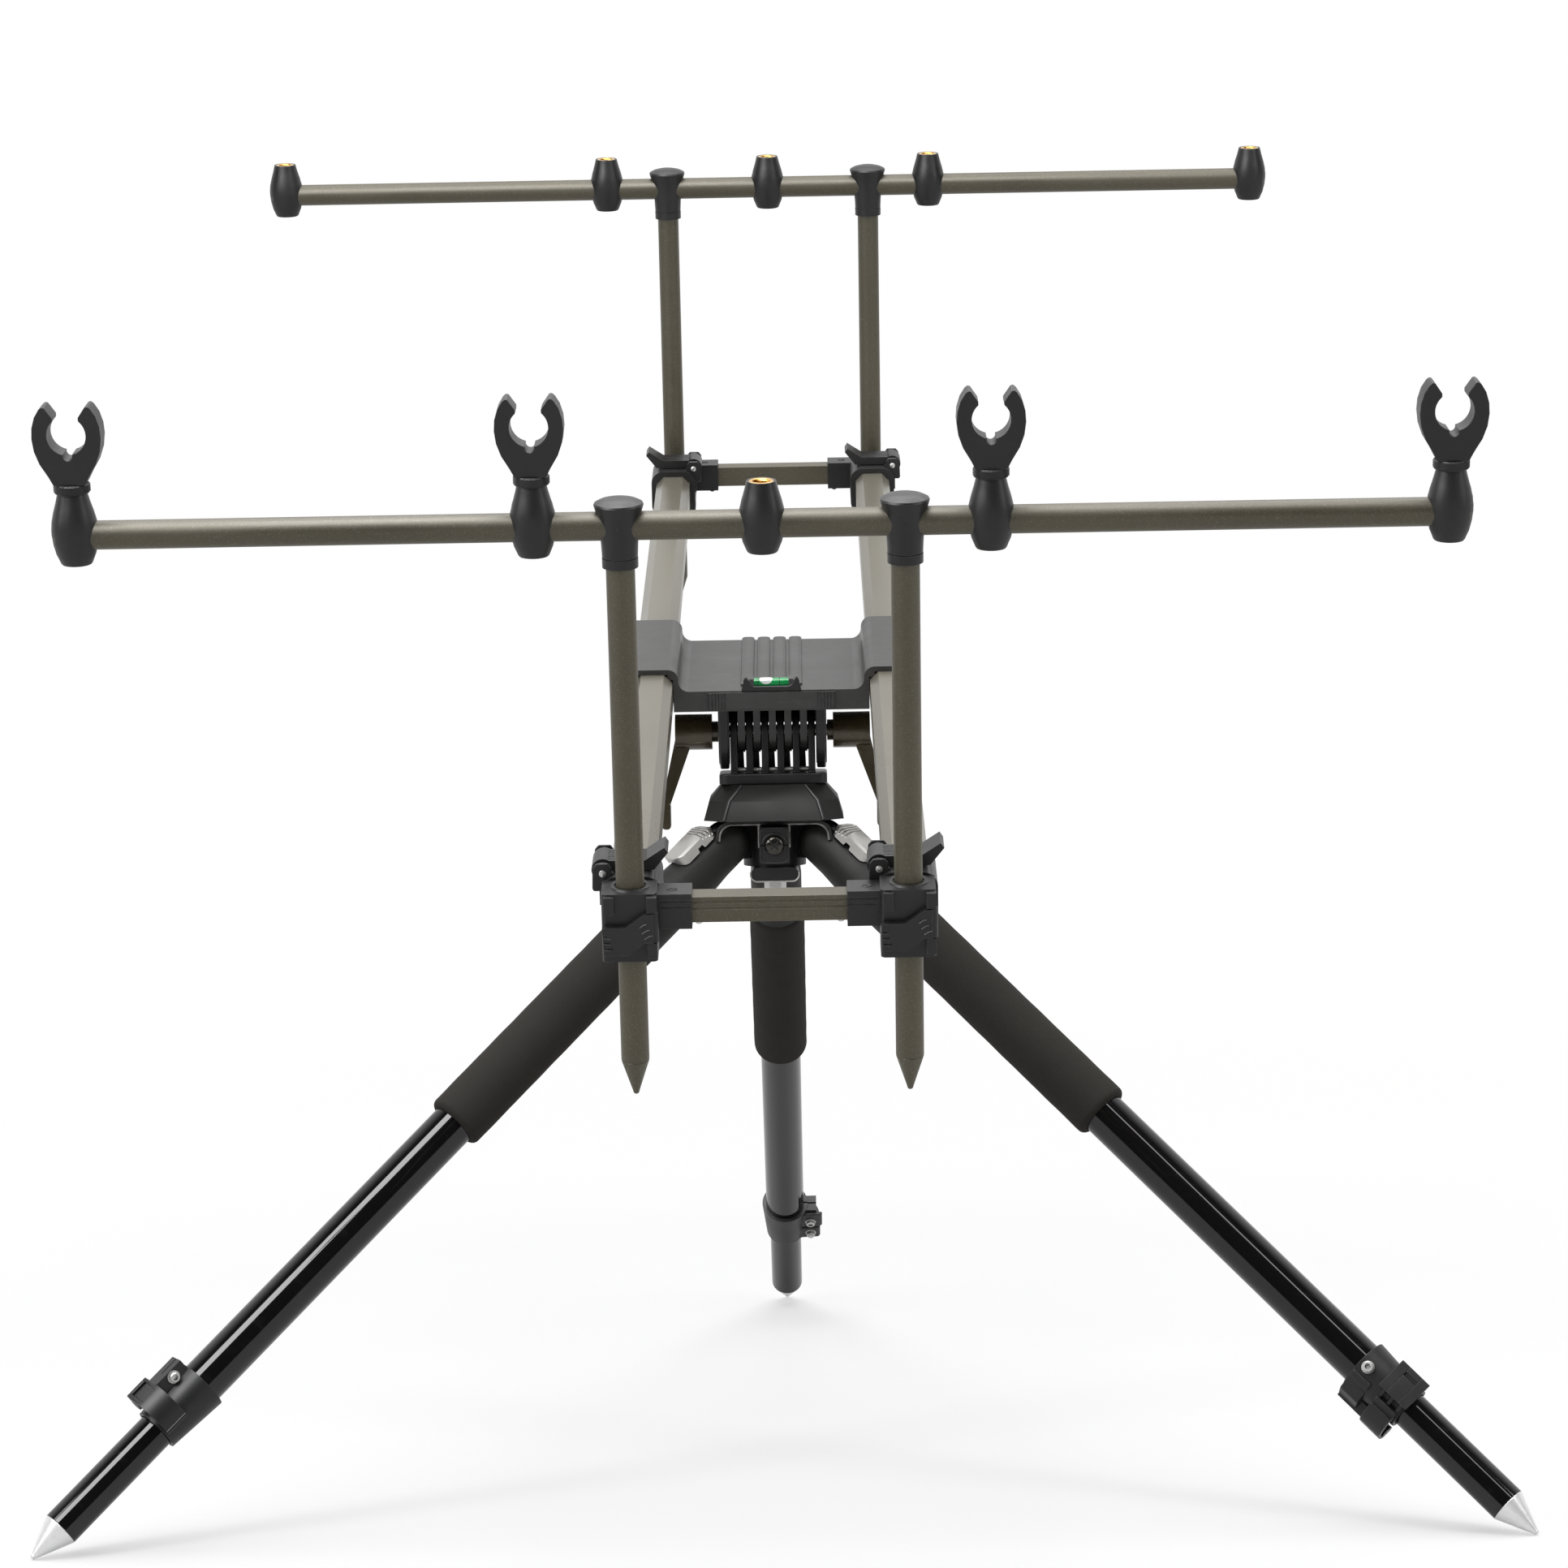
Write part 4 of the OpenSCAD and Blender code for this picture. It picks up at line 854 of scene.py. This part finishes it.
def right_lock_plate():
    """Wing of the right lock's lever with its slot, and the pads on the lever's curved back."""
    at = lock_place("right")
    low, high = reach("right_lock_lever", at)
    lever_r, lever_z = 19.9, 7.1
    past_low, past_high = 3.4, 2.8
    slot_len, floor_lap, strut_w = 10.0, 0.4, 2.2
    near_side = [(16.0, -8.0), (16.6, -6.2), (20.4, -6.6)]
    slot = [(13.1, -19.9), (12.0, -22.0)]
    far_side = [(10.0, -25.6), (7.6, -24.6)]
    near_wall, far_wall = (10.1, -19.6), (9.2, -21.4)
    slot_floor = [(10.8, -18.6), (9.2, -22.2), (10.0, -22.6), (11.6, -19.0)]
    strut = [(16.4, 1.2), (18.4, 1.2), (18.2, -7.4), (16.2, -7.4)]
    pad_turns = ((-6, 40), (-20, -12))
    pad_proud, pad_sunk, pad_inset = 1.4, 0.4, 0.3
    plate = Shape()
    wing = near_side + slot + far_side
    a, b = slotted_plate(plate, wing, low.x - past_low, high.x + past_high, slot_len)
    plate.slab(slot[1:] + far_side + [far_wall], a, b, SECTION)
    plate.slab(near_side + slot[:1] + [near_wall], a, b, SECTION)
    plate.slab(slot_floor, a - floor_lap, b + floor_lap, SECTION)
    for s in (low.x, (low.x + high.x - strut_w) / 2, high.x - strut_w):
        plate.slab(strut, s, s + strut_w, SECTION)
    for first, last in pad_turns:
        pad = arc((0, lever_z), lever_r + pad_proud, first, last, 8)
        pad += arc((0, lever_z), lever_r - pad_sunk, last, first, 8)
        plate.slab(pad, low.x + pad_inset, high.x - pad_inset, SECTION)
    plate.piece("right_lock_plate", at, "black_moulding", "right_lock", "black_moulding", edge=0.5)


def right_lock_lugs():
    """Two halves of the split lug on the right lock's collar."""
    at = lock_place("right")
    inset, lug_len = 0.6, 14.8
    start = reach("right_lock_collar", at)[0].x + inset
    outer = [(8.0, 8.0), (14.8, 5.2), (15.9, 6.2), (14.2, 15.6), (6.6, 22.4), (2.0, 22.4), (2.0, 14.0)]
    inner = [(14.0, -2.5), (18.4, -1.5), (17.8, 4.0), (14.0, 4.0)]
    lugs = Shape()
    for half in (outer, inner):
        lugs.slab(half, start, start + lug_len, SECTION)
    lugs.piece("right_lock_lugs", at, "black_moulding", "right_leg", "black_moulding", edge=0.7)


def rear_lock_lugs():
    """Two halves of the split lug on the front of the rear lock's collar."""
    at = lock_place("rear")
    start = reach("rear_lock_collar", at)[0].x
    root_x, top_x = REAR_LUG_FACE + 0.6, REAR_LUG_FACE - 1.4
    near_half = [(6.0, 14.0), (13.6, 6.6), (root_x, 13.6), (REAR_LUG_FACE, 27.0), (top_x, 28.6), (6.0, 28.6)]
    far_half = [(6.0, 11.8), (12.4, 6.0), (root_x, 13.0), (REAR_LUG_FACE, 25.4), (top_x, 27.0),
                (2.0, 27.0), (2.0, 13.2)]
    lugs = Shape()
    for half, s0, s1 in ((near_half, 4.0, 22.0), (far_half, 24.2, 38.4)):
        lugs.slab(handed(half, facing_side(at)), start + s0, start + s1, SECTION)
    lugs.piece("rear_lock_lugs", at, "black_moulding", "rear_leg", "black_moulding", edge=0.7)


def insert_threads():
    """Thread turns in the brass inserts that stand open."""
    pitch, steps = INCH / 16, 28
    above_foot, below_top = 2.2, 0.9
    root_r, root_half = THREAD_R + 0.15, 0.62
    crest_r, crest_half = THREAD_R - 0.55, 0.08
    for end in ENDS:
        at = bar_place(end)
        low, high = reach(f"{end}_inserts", at)
        bottom, top = low.z + above_foot, high.z - below_top
        places = [0.0] if end == "front" else socket_places()
        coils = Shape()
        for x in places:
            rings = []
            for k in range(int((top - bottom) / pitch * steps)):
                t = 2 * math.pi * k / steps
                z = bottom + pitch * k / steps
                ring = [(root_r, z - root_half), (crest_r, z - crest_half),
                        (crest_r, z + crest_half), (root_r, z + root_half)]
                rings.append([(x + r * math.cos(t), r * math.sin(t), h) for r, h in ring])
            coils.skin(rings, Matrix())
        coils.piece(f"{end}_insert_threads", at, "brass", f"{end}_bar_set", "brass", crease=25)


def level_bubble():
    """Bubble of the level, a patch on the upper front of its vial."""
    radius = vial_radius()
    middle_x, half, steps = -3.4, 4.3, 16
    # turns about the vial in degrees, from the back over the top
    facing, wide, columns = 118, 62, 12
    proud, sunk = 0.28, 0.3
    blunt_wide, blunt_proud = 0.03, 0.02
    rings = []
    for i in range(steps + 1):
        u = -1 + 2 * i / steps
        width = wide * math.sqrt(max(blunt_wide, 1 - u * u))
        rise = proud * math.sqrt(max(blunt_proud, 1 - u * u))
        outer = [math.radians(facing - width + 2 * width * k / columns) for k in range(columns + 1)]
        x, top, under = middle_x + half * u, radius + rise, radius - sunk
        ring = [(x, top * math.cos(t), top * math.sin(t)) for t in outer]
        ring += [(x, under * math.cos(t), under * math.sin(t)) for t in reversed(outer)]
        rings.append(ring)
    Shape().skin(rings, vial_place()).piece(
        "level_bubble", frame_place(), "bubble_white", "frame", "vial_green", crease=50)


def level_lines():
    """Two reading lines round the vial."""
    inner_r, outer_r = vial_radius() - 0.2, vial_radius() + 0.12
    line_half = 0.22
    lines = Shape()
    for x in (-8.6, 5.4):
        left, right = x - line_half, x + line_half
        section = [(left, inner_r), (right, inner_r), (right, outer_r), (left, outer_r)]
        lines.turned_ring(section, vial_place(), 48)
    lines.piece("level_lines", frame_place(), "black_ring", "frame", "black_moulding")


def level_cradle():
    """Horned cradle in front of the level."""
    back, thick = 1.5, 2.0
    right = [(20.0, -0.6), (19.6, 0.4), (18.1, 7.4), (17.2, 9.2),
             (16.2, 9.2), (15.2, 7.4), (13.4, 4.2), (11.4, 3.0)]
    outline = right + [(-x, y) for x, y in reversed(right)]
    Shape().slab(outline, 0.0, thick, moved(0, apron_back() + back, deck_height()) @ UPRIGHT).piece(
        "level_cradle", frame_place(), "black_moulding", "frame", "black_moulding", edge=0.6)


def deck_ribs():
    """Crowned ribs of the saddle's deck."""
    at = frame_place()
    back = reach("saddle", at)[1].y
    front, deck = apron_back(), deck_height()
    pitch, foot = 10.7, 0.2
    half_crown = [(4.3, foot), (4.3, 1.3), (3.5, 2.0), (1.8, 2.35)]
    crown = [(-x, z) for x, z in half_crown] + half_crown[::-1]
    # places along a rib, each with its share of the crown's height
    run = ((front + 12.2, 0.35), (front + 14.0, 1.0), (back - 1.0, 1.0), (back + 0.02, 0.7))
    ribs = Shape()
    for i in (-1.5, -0.5, 0.5, 1.5):
        rings = []
        for v, share in run:
            rings.append([(pitch * i + x, v, deck + foot + (z - foot) * share) for x, z in crown])
        ribs.skin(rings, Matrix())
    ribs.piece("deck_ribs", at, "satin_moulding", "frame", "black_moulding", edge=0.3)


def apron_ribs():
    """Fine upright ribs at both ends of the front apron."""
    at = frame_place()
    count, outer_x, pitch = 6, 41.5, 2.1
    radius, sunk = 0.55, 0.35
    v = reach("saddle", at)[0].y + sunk
    low, top = deck_height() - 13.0, deck_height() - 1.2
    ribs = Shape()
    for side in SIDES.values():
        for i in range(count):
            x = side * (outer_x - pitch * i)
            ribs.bar([(x, v, low), (x, v, top)], radius, sides=8)
    ribs.piece("apron_ribs", at, "black_moulding", "frame", "black_moulding")


def fin_web():
    """Web that closes the saddle's hinge fins behind, clear of the comb's round at every tilt."""
    half, low, top = 29.2, 1.4, deck_seat()
    back, thick = 16.2, 1.8
    rib_half, rib_low, rib_top, rib_thick, rib_lap = 1.2, 5.4, 12.0, 3.4, 0.4
    web = Shape()
    web.slab(rectangle(-half, half, low, top), 0.0, thick, moved(0, back, 0) @ UPRIGHT)
    for i in range(-2, 3):
        rib = rectangle(FIN_PITCH * i - rib_half, FIN_PITCH * i + rib_half, rib_low, rib_top)
        web.slab(rib, 0.0, rib_thick, moved(0, back + rib_lap, 0) @ UPRIGHT)
    web.piece("fin_web", frame_place(), "black_moulding", "frame", "black_moulding", edge=0.3)


def cheek_rims():
    """Rims that carry the saddle's two thick cheeks down to just above the comb's base."""
    inner_r, outer_r, steps = 21.8, 25.2, 40
    top = deck_seat()
    near_x, far_x = 29.4, 35.4
    section = [(-outer_r, top)] + arc((0, 0), outer_r, 180, 360, steps) + [(outer_r, top), (inner_r, top)]
    section += arc((0, 0), inner_r, 360, 180, steps) + [(-inner_r, top)]
    rims = Shape()
    rims.slab(section, near_x, far_x, SECTION)
    rims.slab(section, -far_x, -near_x, SECTION)
    rims.piece("cheek_rims", frame_place(), "black_moulding", "frame", "black_moulding", edge=0.9)


def skirt_ridges():
    """Raised ribs along the corners of the cover skirt, which flares more steeply below its bend."""
    at = head_place()
    low, high = reach("head_cover", at)
    top_x, top_y, corner = 34.5, 28.0, 13.5
    bend = low.z + 0.55 * (high.z - low.z)
    radius, sunk = 1.3, 0.25
    # heights up the skirt, each with its share of the flare
    levels = ((low.z + 0.4, 1.0), (bend, 0.7), (high.z - 0.6, 0.03))
    ridges = Shape()
    for side_x in (-1, 1):
        for side_y in (-1, 1):
            path = []
            for z, flare in levels:
                x = top_x + (high.x - top_x) * flare - corner
                y = top_y + (high.y - top_y) * flare - sunk
                path.append((side_x * x, side_y * y, z))
            ridges.bar(path, radius, sides=12)
    ridges.piece("skirt_ridges", at, "black_moulding", "tripod_head", "black_moulding")


def comb_tie():
    """Threaded tie rod that shows between the lower hinge fins."""
    at = head_place()
    half, pitch, root_r, crest_r = 27.6, 0.8, 1.55, 1.95
    above_base, y = 2.1, -9.5
    z = reach("lower_comb", at)[0].z + COMB_BASE_H + above_base
    profile = []
    for i in range(int(2 * half / pitch)):
        profile += [(-half + i * pitch, root_r), (-half + (i + 0.5) * pitch, crest_r)]
    Shape().turned(profile, moved(0, y, z), 24).piece(
        "comb_tie", at, "zinc", "tripod_head", "zinc", crease=25)


def comb_webs():
    """Webs behind the lower hinge fins with a narrow slot in each gap, and a bar across the fins' backs."""
    at = head_place()
    gap = FIN_PITCH - FIN_THICK
    slot, lap, taper = 1.5, 0.3, 0.5
    height, thick, back, sunk = 14.4, 2.4, 12.6, 0.4
    base = reach("lower_comb", at)[0].z + COMB_BASE_H - sunk
    # the bar stays under the round of the saddle's fins
    bar_half, bar_low, bar_top = 28.2, -13.8, -4.4
    bar_thick, bar_back = 1.8, 15.4
    webs = Shape()
    for i in range(-2, 3):
        left = FIN_PITCH * i - gap / 2 - lap
        right = FIN_PITCH * i + gap / 2 - slot
        outline = [(left, 0.0), (right, 0.0), (right - taper, height), (left, height)]
        webs.slab(outline, 0.0, thick, moved(0, back, base) @ UPRIGHT)
    bar = rectangle(-bar_half, bar_half, bar_low, bar_top)
    webs.slab(bar, 0.0, bar_thick, moved(0, bar_back, 0) @ UPRIGHT)
    webs.piece("comb_webs", at, "black_moulding", "tripod_head", "black_moulding", edge=0.3)


def limb_arches():
    """Brows of the hub casting that arch from the boss over the ball ends of the two front limbs, and light grey
    rims on their edges as a painted highlight.
    """
    at = head_place()
    boss_x, top_x, arch_rise, foot_rise = 9.0, 27.5, 13.4, 2.4
    round_r, round_end, round_steps = 8.5, 8, 10
    outer_r, outer_shift = 9.1, 1.6
    brow_h, lip, foot_out = 2.2, 2.2, 0.4
    front_gap, top_thick, side_thick = 18.3, 7.0, 1.6
    rim_r, edge_x, edge_gap, edge_h = 0.7, 10.2, 15.0, 16.0
    brows = Shape()
    rims = Shape()
    for leg, side in SIDES.items():
        ball = pivot_of(leg)
        front, edge_y = ball.y - front_gap, ball.y - edge_gap
        under_z = ball.z + arch_rise
        over_z = under_z + brow_h
        bend = arc((top_x, under_z - round_r), round_r, 90, round_end, round_steps)
        foot = (bend[-1][0] + foot_out, ball.z + foot_rise)
        outer = [(foot[0] + lip, foot[1])]
        outer += arc((top_x + outer_shift, over_z - outer_r), outer_r, round_end, 90, round_steps)
        top = [(boss_x, under_z), (top_x, under_z), (top_x + outer_shift, over_z), (boss_x, over_z)]
        for outline, thick in ((top, top_thick), (bend + [foot] + outer, side_thick)):
            brows.slab(handed(outline, side), -thick, 0.0, moved(0, front, 0) @ UPRIGHT)
        # light grey rims along the brows' edges and down the hub's front: a painted highlight where light catches
        # these edges
        rims.bar([(side * x, front, z) for x, z in [(boss_x, under_z)] + bend + [foot]], rim_r)
        rims.bar([(side * edge_x, edge_y, z) for z in (under_z, under_z - edge_h)], rim_r)
    brows.piece("limb_brows", at, "black_moulding", "tripod_head", "black_moulding", edge=0.4)
    rims.piece("limb_rims", at, "painted_edge_highlight", "tripod_head", "black_moulding")


def boss_screw():
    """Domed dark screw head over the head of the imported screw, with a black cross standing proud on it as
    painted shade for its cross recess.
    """
    at = head_place()
    dome = [(0.02, 6.6), (1.0, 6.6), (1.9, 6.1), (2.7, 4.8), (3.2, 2.8), (3.35, 0.5)]
    arm_edge = [(-3.6, 0.45), (-0.6, 0.6), (0.6, 0.6), (3.6, 0.45)]
    arm = arm_edge + [(x, -y) for x, y in reversed(arm_edge)]
    arm_low, arm_top = 2.3, 3.42
    Shape().turned(dome, boss_place() @ ALONG_Z, 48).piece(
        "boss_screw", at, "dark_chrome", "tripod_head", "zinc")
    # the recess is not cut: two black slabs just proud of the dome stand in for the shade inside it
    cross = Shape()
    for turn in (45, 135):
        cross.slab(arm, arm_low, arm_top, boss_place() @ Matrix.Rotation(math.radians(turn), 4, "Z"))
    cross.piece("boss_screw_cross", at, "black_ring", "tripod_head", "zinc", edge=0.1)


def boss_rims():
    """Rims of the boss's upper and lower half, and the bezel over its screw."""
    facing = boss_place()
    side_x, split, corner_y, corner_r = 9.3, 0.9, 7.6, 4.0
    rim_r, rim_proud = 0.75, 0.1
    bezel_r, bezel_wire_r, bezel_proud = 8.0, 0.7, 0.2
    corner_x = side_x - corner_r
    corners = arc((corner_x, corner_y), corner_r, 0, 90, 6)
    corners += arc((-corner_x, corner_y), corner_r, 90, 180, 6)
    arch = [(side_x, split)] + corners + [(-side_x, split)]
    rims = Shape()
    for half in (1, -1):
        rims.bar([(x, half * y, rim_proud) for x, y in arch], rim_r, facing)
    bezel = arc((0, 0), bezel_r, 12, 168, 16)
    rims.bar([(x, y, bezel_proud) for x, y in bezel], bezel_wire_r, facing)
    rims.piece("boss_rims", head_place(), "black_moulding", "tripod_head", "black_moulding")


def foot_lip():
    """Bright lip along the lower front edge of the hub's foot."""
    foot_half, foot_drop, foot_front = 16.0, 25.5, -27.0
    round_r, rise, out = 4.4, 6.2, 0.1
    wire_r, sunk = 0.6, 0.3
    low = pivot_of("left").z - foot_drop
    edge = [(-foot_half - out, rise)] + arc((-foot_half + round_r, round_r), round_r + out, 180, 270, 8)
    edge += arc((foot_half - round_r, round_r), round_r + out, 270, 360, 8) + [(foot_half + out, rise)]
    lip = Shape().bar([(x, foot_front + sunk, low + z) for x, z in edge], wire_r)
    lip.piece("foot_lip", head_place(), "satin_silver", "tripod_head", "zinc")


def plate_marks():
    """Finger ribs on both edges of each plate lever, and the oval mark on each crossbar socket."""
    plate_face, rib_r = -19.6, 0.55
    short_ribs = (-8.2, -11.6, -15.0)
    short_path = ((-15.2, 0.0), (-11.2, -0.5))
    hooked_ribs = ((5.4, -2.2), (6.8, -5.6), (8.2, -9.0))
    hooked_path = ((0.0, 0.0), (2.6, 1.7), (4.2, 1.9))
    oval_x, oval_v, socket_top = 23.5, 1.0, 13.3
    oval_half_x, oval_half_v, oval_r = 2.6, 1.7, 0.4
    at = frame_place()
    for end in ENDS:
        ovals = Shape()
        for side_name, side in SIDES.items():
            spot = block_place(end, side)
            ribs = Shape()
            for w in short_ribs:
                ribs.bar([(x, plate_face, w + rise) for x, rise in short_path], rib_r, spot)
            for x, w in hooked_ribs:
                ribs.bar([(x + out, plate_face, w + rise) for out, rise in hooked_path], rib_r, spot)
            ribs.piece(f"{end}_{side_name}_plate_ribs", at, "black_moulding",
                       f"{end}_{side_name}_upright_clamp", "black_moulding")
            middle_x = oval_x * (-side if end == "front" else side)
            ring = [(middle_x + oval_half_x * math.cos(t), oval_v + oval_half_v * math.sin(t), socket_top)
                    for t in turns(28)]
            ovals.bar(ring, oval_r, spot, closed=True)
        ovals.piece(f"{end}_socket_marks", at, "black_moulding", f"{end}_carriage", "black_moulding")


def block_details():
    """Pin ends and lug cheeks of the rail levers, and the lips round the uprights."""
    pin_x, pin_w, pin_sunk = -16.0, 19.0, 0.05
    lugs_front, lugs_back = 13.9, 47.1
    pin_end = [(0.0, 2.0), (0.9, 2.0), (1.3, 1.4)]
    cheek_thick, cheek_proud = 1.3, 0.6
    cheek_foot = [(-6.0, -9.0), (-5.2, -10.5), (3.6, -10.5), (4.8, -8.6)]
    cheek_head = [(5.2, 3.6), (3.4, 6.0), (-3.4, 6.0), (-5.6, 3.4)]
    cheek = [(pin_x + x, pin_w + w) for x, w in cheek_foot + cheek_head]
    lip_low = 15.95
    lip = [(0.0, 8.6), (1.1, 8.9), (1.4, 9.8), (1.1, 11.2), (0.0, 11.8)]
    at = frame_place()
    for end in ENDS:
        pins = Shape()
        lips = Shape()
        cheeks = Shape()
        for side in SIDES.values():
            spot = block_place(end, side)
            front_pin = moved(pin_x, lugs_front + pin_sunk, pin_w) @ ALONG_Y_BACK
            back_pin = moved(pin_x, lugs_back - pin_sunk, pin_w) @ ALONG_Y
            pins.turned(pin_end, spot @ front_pin, 28)
            pins.turned(pin_end, spot @ back_pin, 28)
            for v in (lugs_front + cheek_thick - cheek_proud, lugs_back + cheek_proud):
                cheeks.slab(cheek, 0.0, cheek_thick, spot @ moved(0, v, 0) @ UPRIGHT)
            lips.turned_ring(lip, spot @ moved(0, 0, lip_low) @ ALONG_Z, 56)
        pins.piece(f"{end}_lever_pin_ends", at, "zinc", f"{end}_carriage", "zinc")
        lips.piece(f"{end}_upright_lips", at, "black_moulding", f"{end}_carriage", "black_moulding")
        cheeks.piece(f"{end}_lug_cheeks", at, "black_moulding", f"{end}_carriage", "black_moulding",
                     edge=0.6)


# studio


def studio_floor():
    """White paper that glows less near the object, where the lamps fill in and its shadow shows."""
    size, drop = 30.0, 0.0004
    near, far = 0.8, 3.5
    near_glow, far_glow = 0.44, 0.80
    paper_grey, gloss_share = 0.5, 0.6
    bpy.ops.mesh.primitive_plane_add(size=size, location=(0, 0, -drop))
    floor = bpy.context.object
    floor.name = "studio_floor"
    material = bpy.data.materials.new("studio_floor")
    material.use_nodes = True
    tree = material.node_tree
    tree.nodes.clear()
    out = add(tree, "ShaderNodeOutputMaterial")
    diffuse = add(tree, "ShaderNodeBsdfDiffuse")
    diffuse.inputs["Color"].default_value = (paper_grey, paper_grey, paper_grey, 1)
    paper = add(tree, "ShaderNodeEmission")
    paper.inputs["Color"].default_value = (1, 1, 1, 1)
    away = add(tree, "ShaderNodeVectorMath", operation="LENGTH")
    tree.links.new(add(tree, "ShaderNodeTexCoord").outputs["Object"], away.inputs[0])
    glow = stretch(tree, away.outputs["Value"], near, far, near_glow, far_glow)
    tree.links.new(glow, paper.inputs["Strength"])
    both = add(tree, "ShaderNodeAddShader")
    tree.links.new(diffuse.outputs[0], both.inputs[0])
    tree.links.new(paper.outputs[0], both.inputs[1])
    path = add(tree, "ShaderNodeLightPath")
    mirrored = maths(tree, "MULTIPLY", path.outputs["Is Glossy Ray"], gloss_share)
    seen = maths(tree, "MAXIMUM", path.outputs["Is Camera Ray"], mirrored)
    seen = maths(tree, "MAXIMUM", seen, path.outputs["Is Transmission Ray"])
    pick = add(tree, "ShaderNodeMixShader")
    tree.links.new(seen, pick.inputs[0])
    tree.links.new(diffuse.outputs[0], pick.inputs[1])
    tree.links.new(both.outputs[0], pick.inputs[2])
    tree.links.new(pick.outputs[0], out.inputs["Surface"])
    floor.data.materials.append(material)


def studio_world():
    """White all round for the eye, brighter behind the object than behind the camera for reflections."""
    soft_fill = 0.38
    # direction towards the back where the brightness turns from one to the other
    turn_low, turn_high = -0.10, 0.40
    behind_camera, behind_object = 0.04, 1.0
    world = bpy.data.worlds.new("studio")
    bpy.context.scene.world = world
    world.use_nodes = True
    tree = world.node_tree
    back = tree.nodes["Background"]
    coords = add(tree, "ShaderNodeTexCoord").outputs["Generated"]
    split = add(tree, "ShaderNodeSeparateXYZ")
    tree.links.new(coords, split.inputs[0])
    depth = stretch(tree, split.outputs["Y"], turn_low, turn_high, behind_camera, behind_object)
    path = add(tree, "ShaderNodeLightPath")
    soft = maths(tree, "MULTIPLY", path.outputs["Is Diffuse Ray"], soft_fill)
    mirrored = maths(tree, "MULTIPLY", maths(tree, "SUBTRACT", 1.0, path.outputs["Is Diffuse Ray"]), depth)
    unseen = maths(tree, "ADD", soft, mirrored)
    strength = maths(tree, "MAXIMUM", unseen, path.outputs["Is Camera Ray"])
    tree.links.new(strength, back.inputs["Strength"])
    back.inputs["Color"].default_value = (1, 1, 1, 1)


def softbox(name, location, aim, size, power, along=(0, 0, 1), gloss_only=False):
    """Area lamp of a size across and along; one that is gloss_only shows in reflections alone."""
    lamp = bpy.data.lights.new(name, "AREA")
    lamp.shape = "RECTANGLE"
    lamp.size, lamp.size_y = size
    lamp.energy = power
    lamp_object = bpy.data.objects.new(name, lamp)
    bpy.context.scene.collection.objects.link(lamp_object)
    back = (Vector(location) - Vector(aim)).normalized()
    length = Vector(along)
    length = (length - length.dot(back) * back).normalized()
    across = length.cross(back)
    rows = [[across[i], length[i], back[i], location[i]] for i in range(3)]
    lamp_object.matrix_world = Matrix(rows + [[0, 0, 0, 1]])
    lamp_object.visible_diffuse = not gloss_only


def studio_lights():
    """Softbox above, a strip on either side, and a long strip for the lines of light on each front leg."""
    softbox("top_softbox", (0, 0.2, 2.6), (0, 0, 0.4), (2.4, 2.0), 52, along=(0, 1, 0))
    softbox("left_strip", (-2.1, -1.2, 1.5), (-0.1, 0, 0.4), (0.5, 1.8), 16)
    softbox("right_strip", (2.1, -1.2, 1.5), (0.1, 0, 0.4), (0.5, 1.8), 14)
    strip_y, strip_z, strip_len, down_leg = -1.21, 1.81, 2.6, 0.4
    for leg, x, width, power in (("left", -0.754, 0.9, 84), ("right", 0.754, 0.2, 9)):
        along = axis_of(f"{leg}_leg_slide")
        aim = point_of(f"{leg}_leg_fold") + down_leg * along
        softbox(f"{leg}_leg_strip", (x, strip_y, strip_z), aim, (width, strip_len), power,
                along=along, gloss_only=True)


def photo_camera():
    """Camera fitted to the photograph: place and turns from the tripod's axis, in metres and radians."""
    offset = Vector((0.02057, -2.826, 0.6541))
    pitch, yaw, roll = 0.0714, -0.0048, -0.0177
    focal_px, image_px, sensor = 5200.0, 1932.0, 36.0
    ahead = Vector((math.sin(yaw) * math.cos(pitch), math.cos(yaw) * math.cos(pitch), -math.sin(pitch)))
    level = Vector((math.cos(yaw), -math.sin(yaw), 0))
    upward = level.cross(ahead)
    right = math.cos(roll) * level + math.sin(roll) * upward
    up = math.cos(roll) * upward - math.sin(roll) * level
    spot = offset + Vector((0, point_of("frame_tilt").y, 0))
    camera = bpy.data.cameras.new("photo_camera")
    camera.sensor_width = sensor
    camera.lens = focal_px / image_px * sensor
    camera.clip_end = 60
    camera_object = bpy.data.objects.new("photo_camera", camera)
    bpy.context.scene.collection.objects.link(camera_object)
    rows = [[right[i], up[i], -ahead[i], spot[i]] for i in range(3)]
    camera_object.matrix_world = Matrix(rows + [[0, 0, 0, 1]])
    bpy.context.scene.camera = camera_object


dress_solids()
foam_sleeves()
knurled_rings()
lock_screws()
left_lock_plate()
right_lock_plate()
right_lock_lugs()
rear_lock_lugs()
insert_threads()
level_bubble()
level_lines()
level_cradle()
deck_ribs()
apron_ribs()
fin_web()
cheek_rims()
skirt_ridges()
comb_tie()
comb_webs()
limb_arches()
boss_screw()
boss_rims()
foot_lip()
plate_marks()
block_details()
studio_floor()
studio_world()
studio_lights()
photo_camera()
bpy.context.scene.view_settings.view_transform = "Standard"
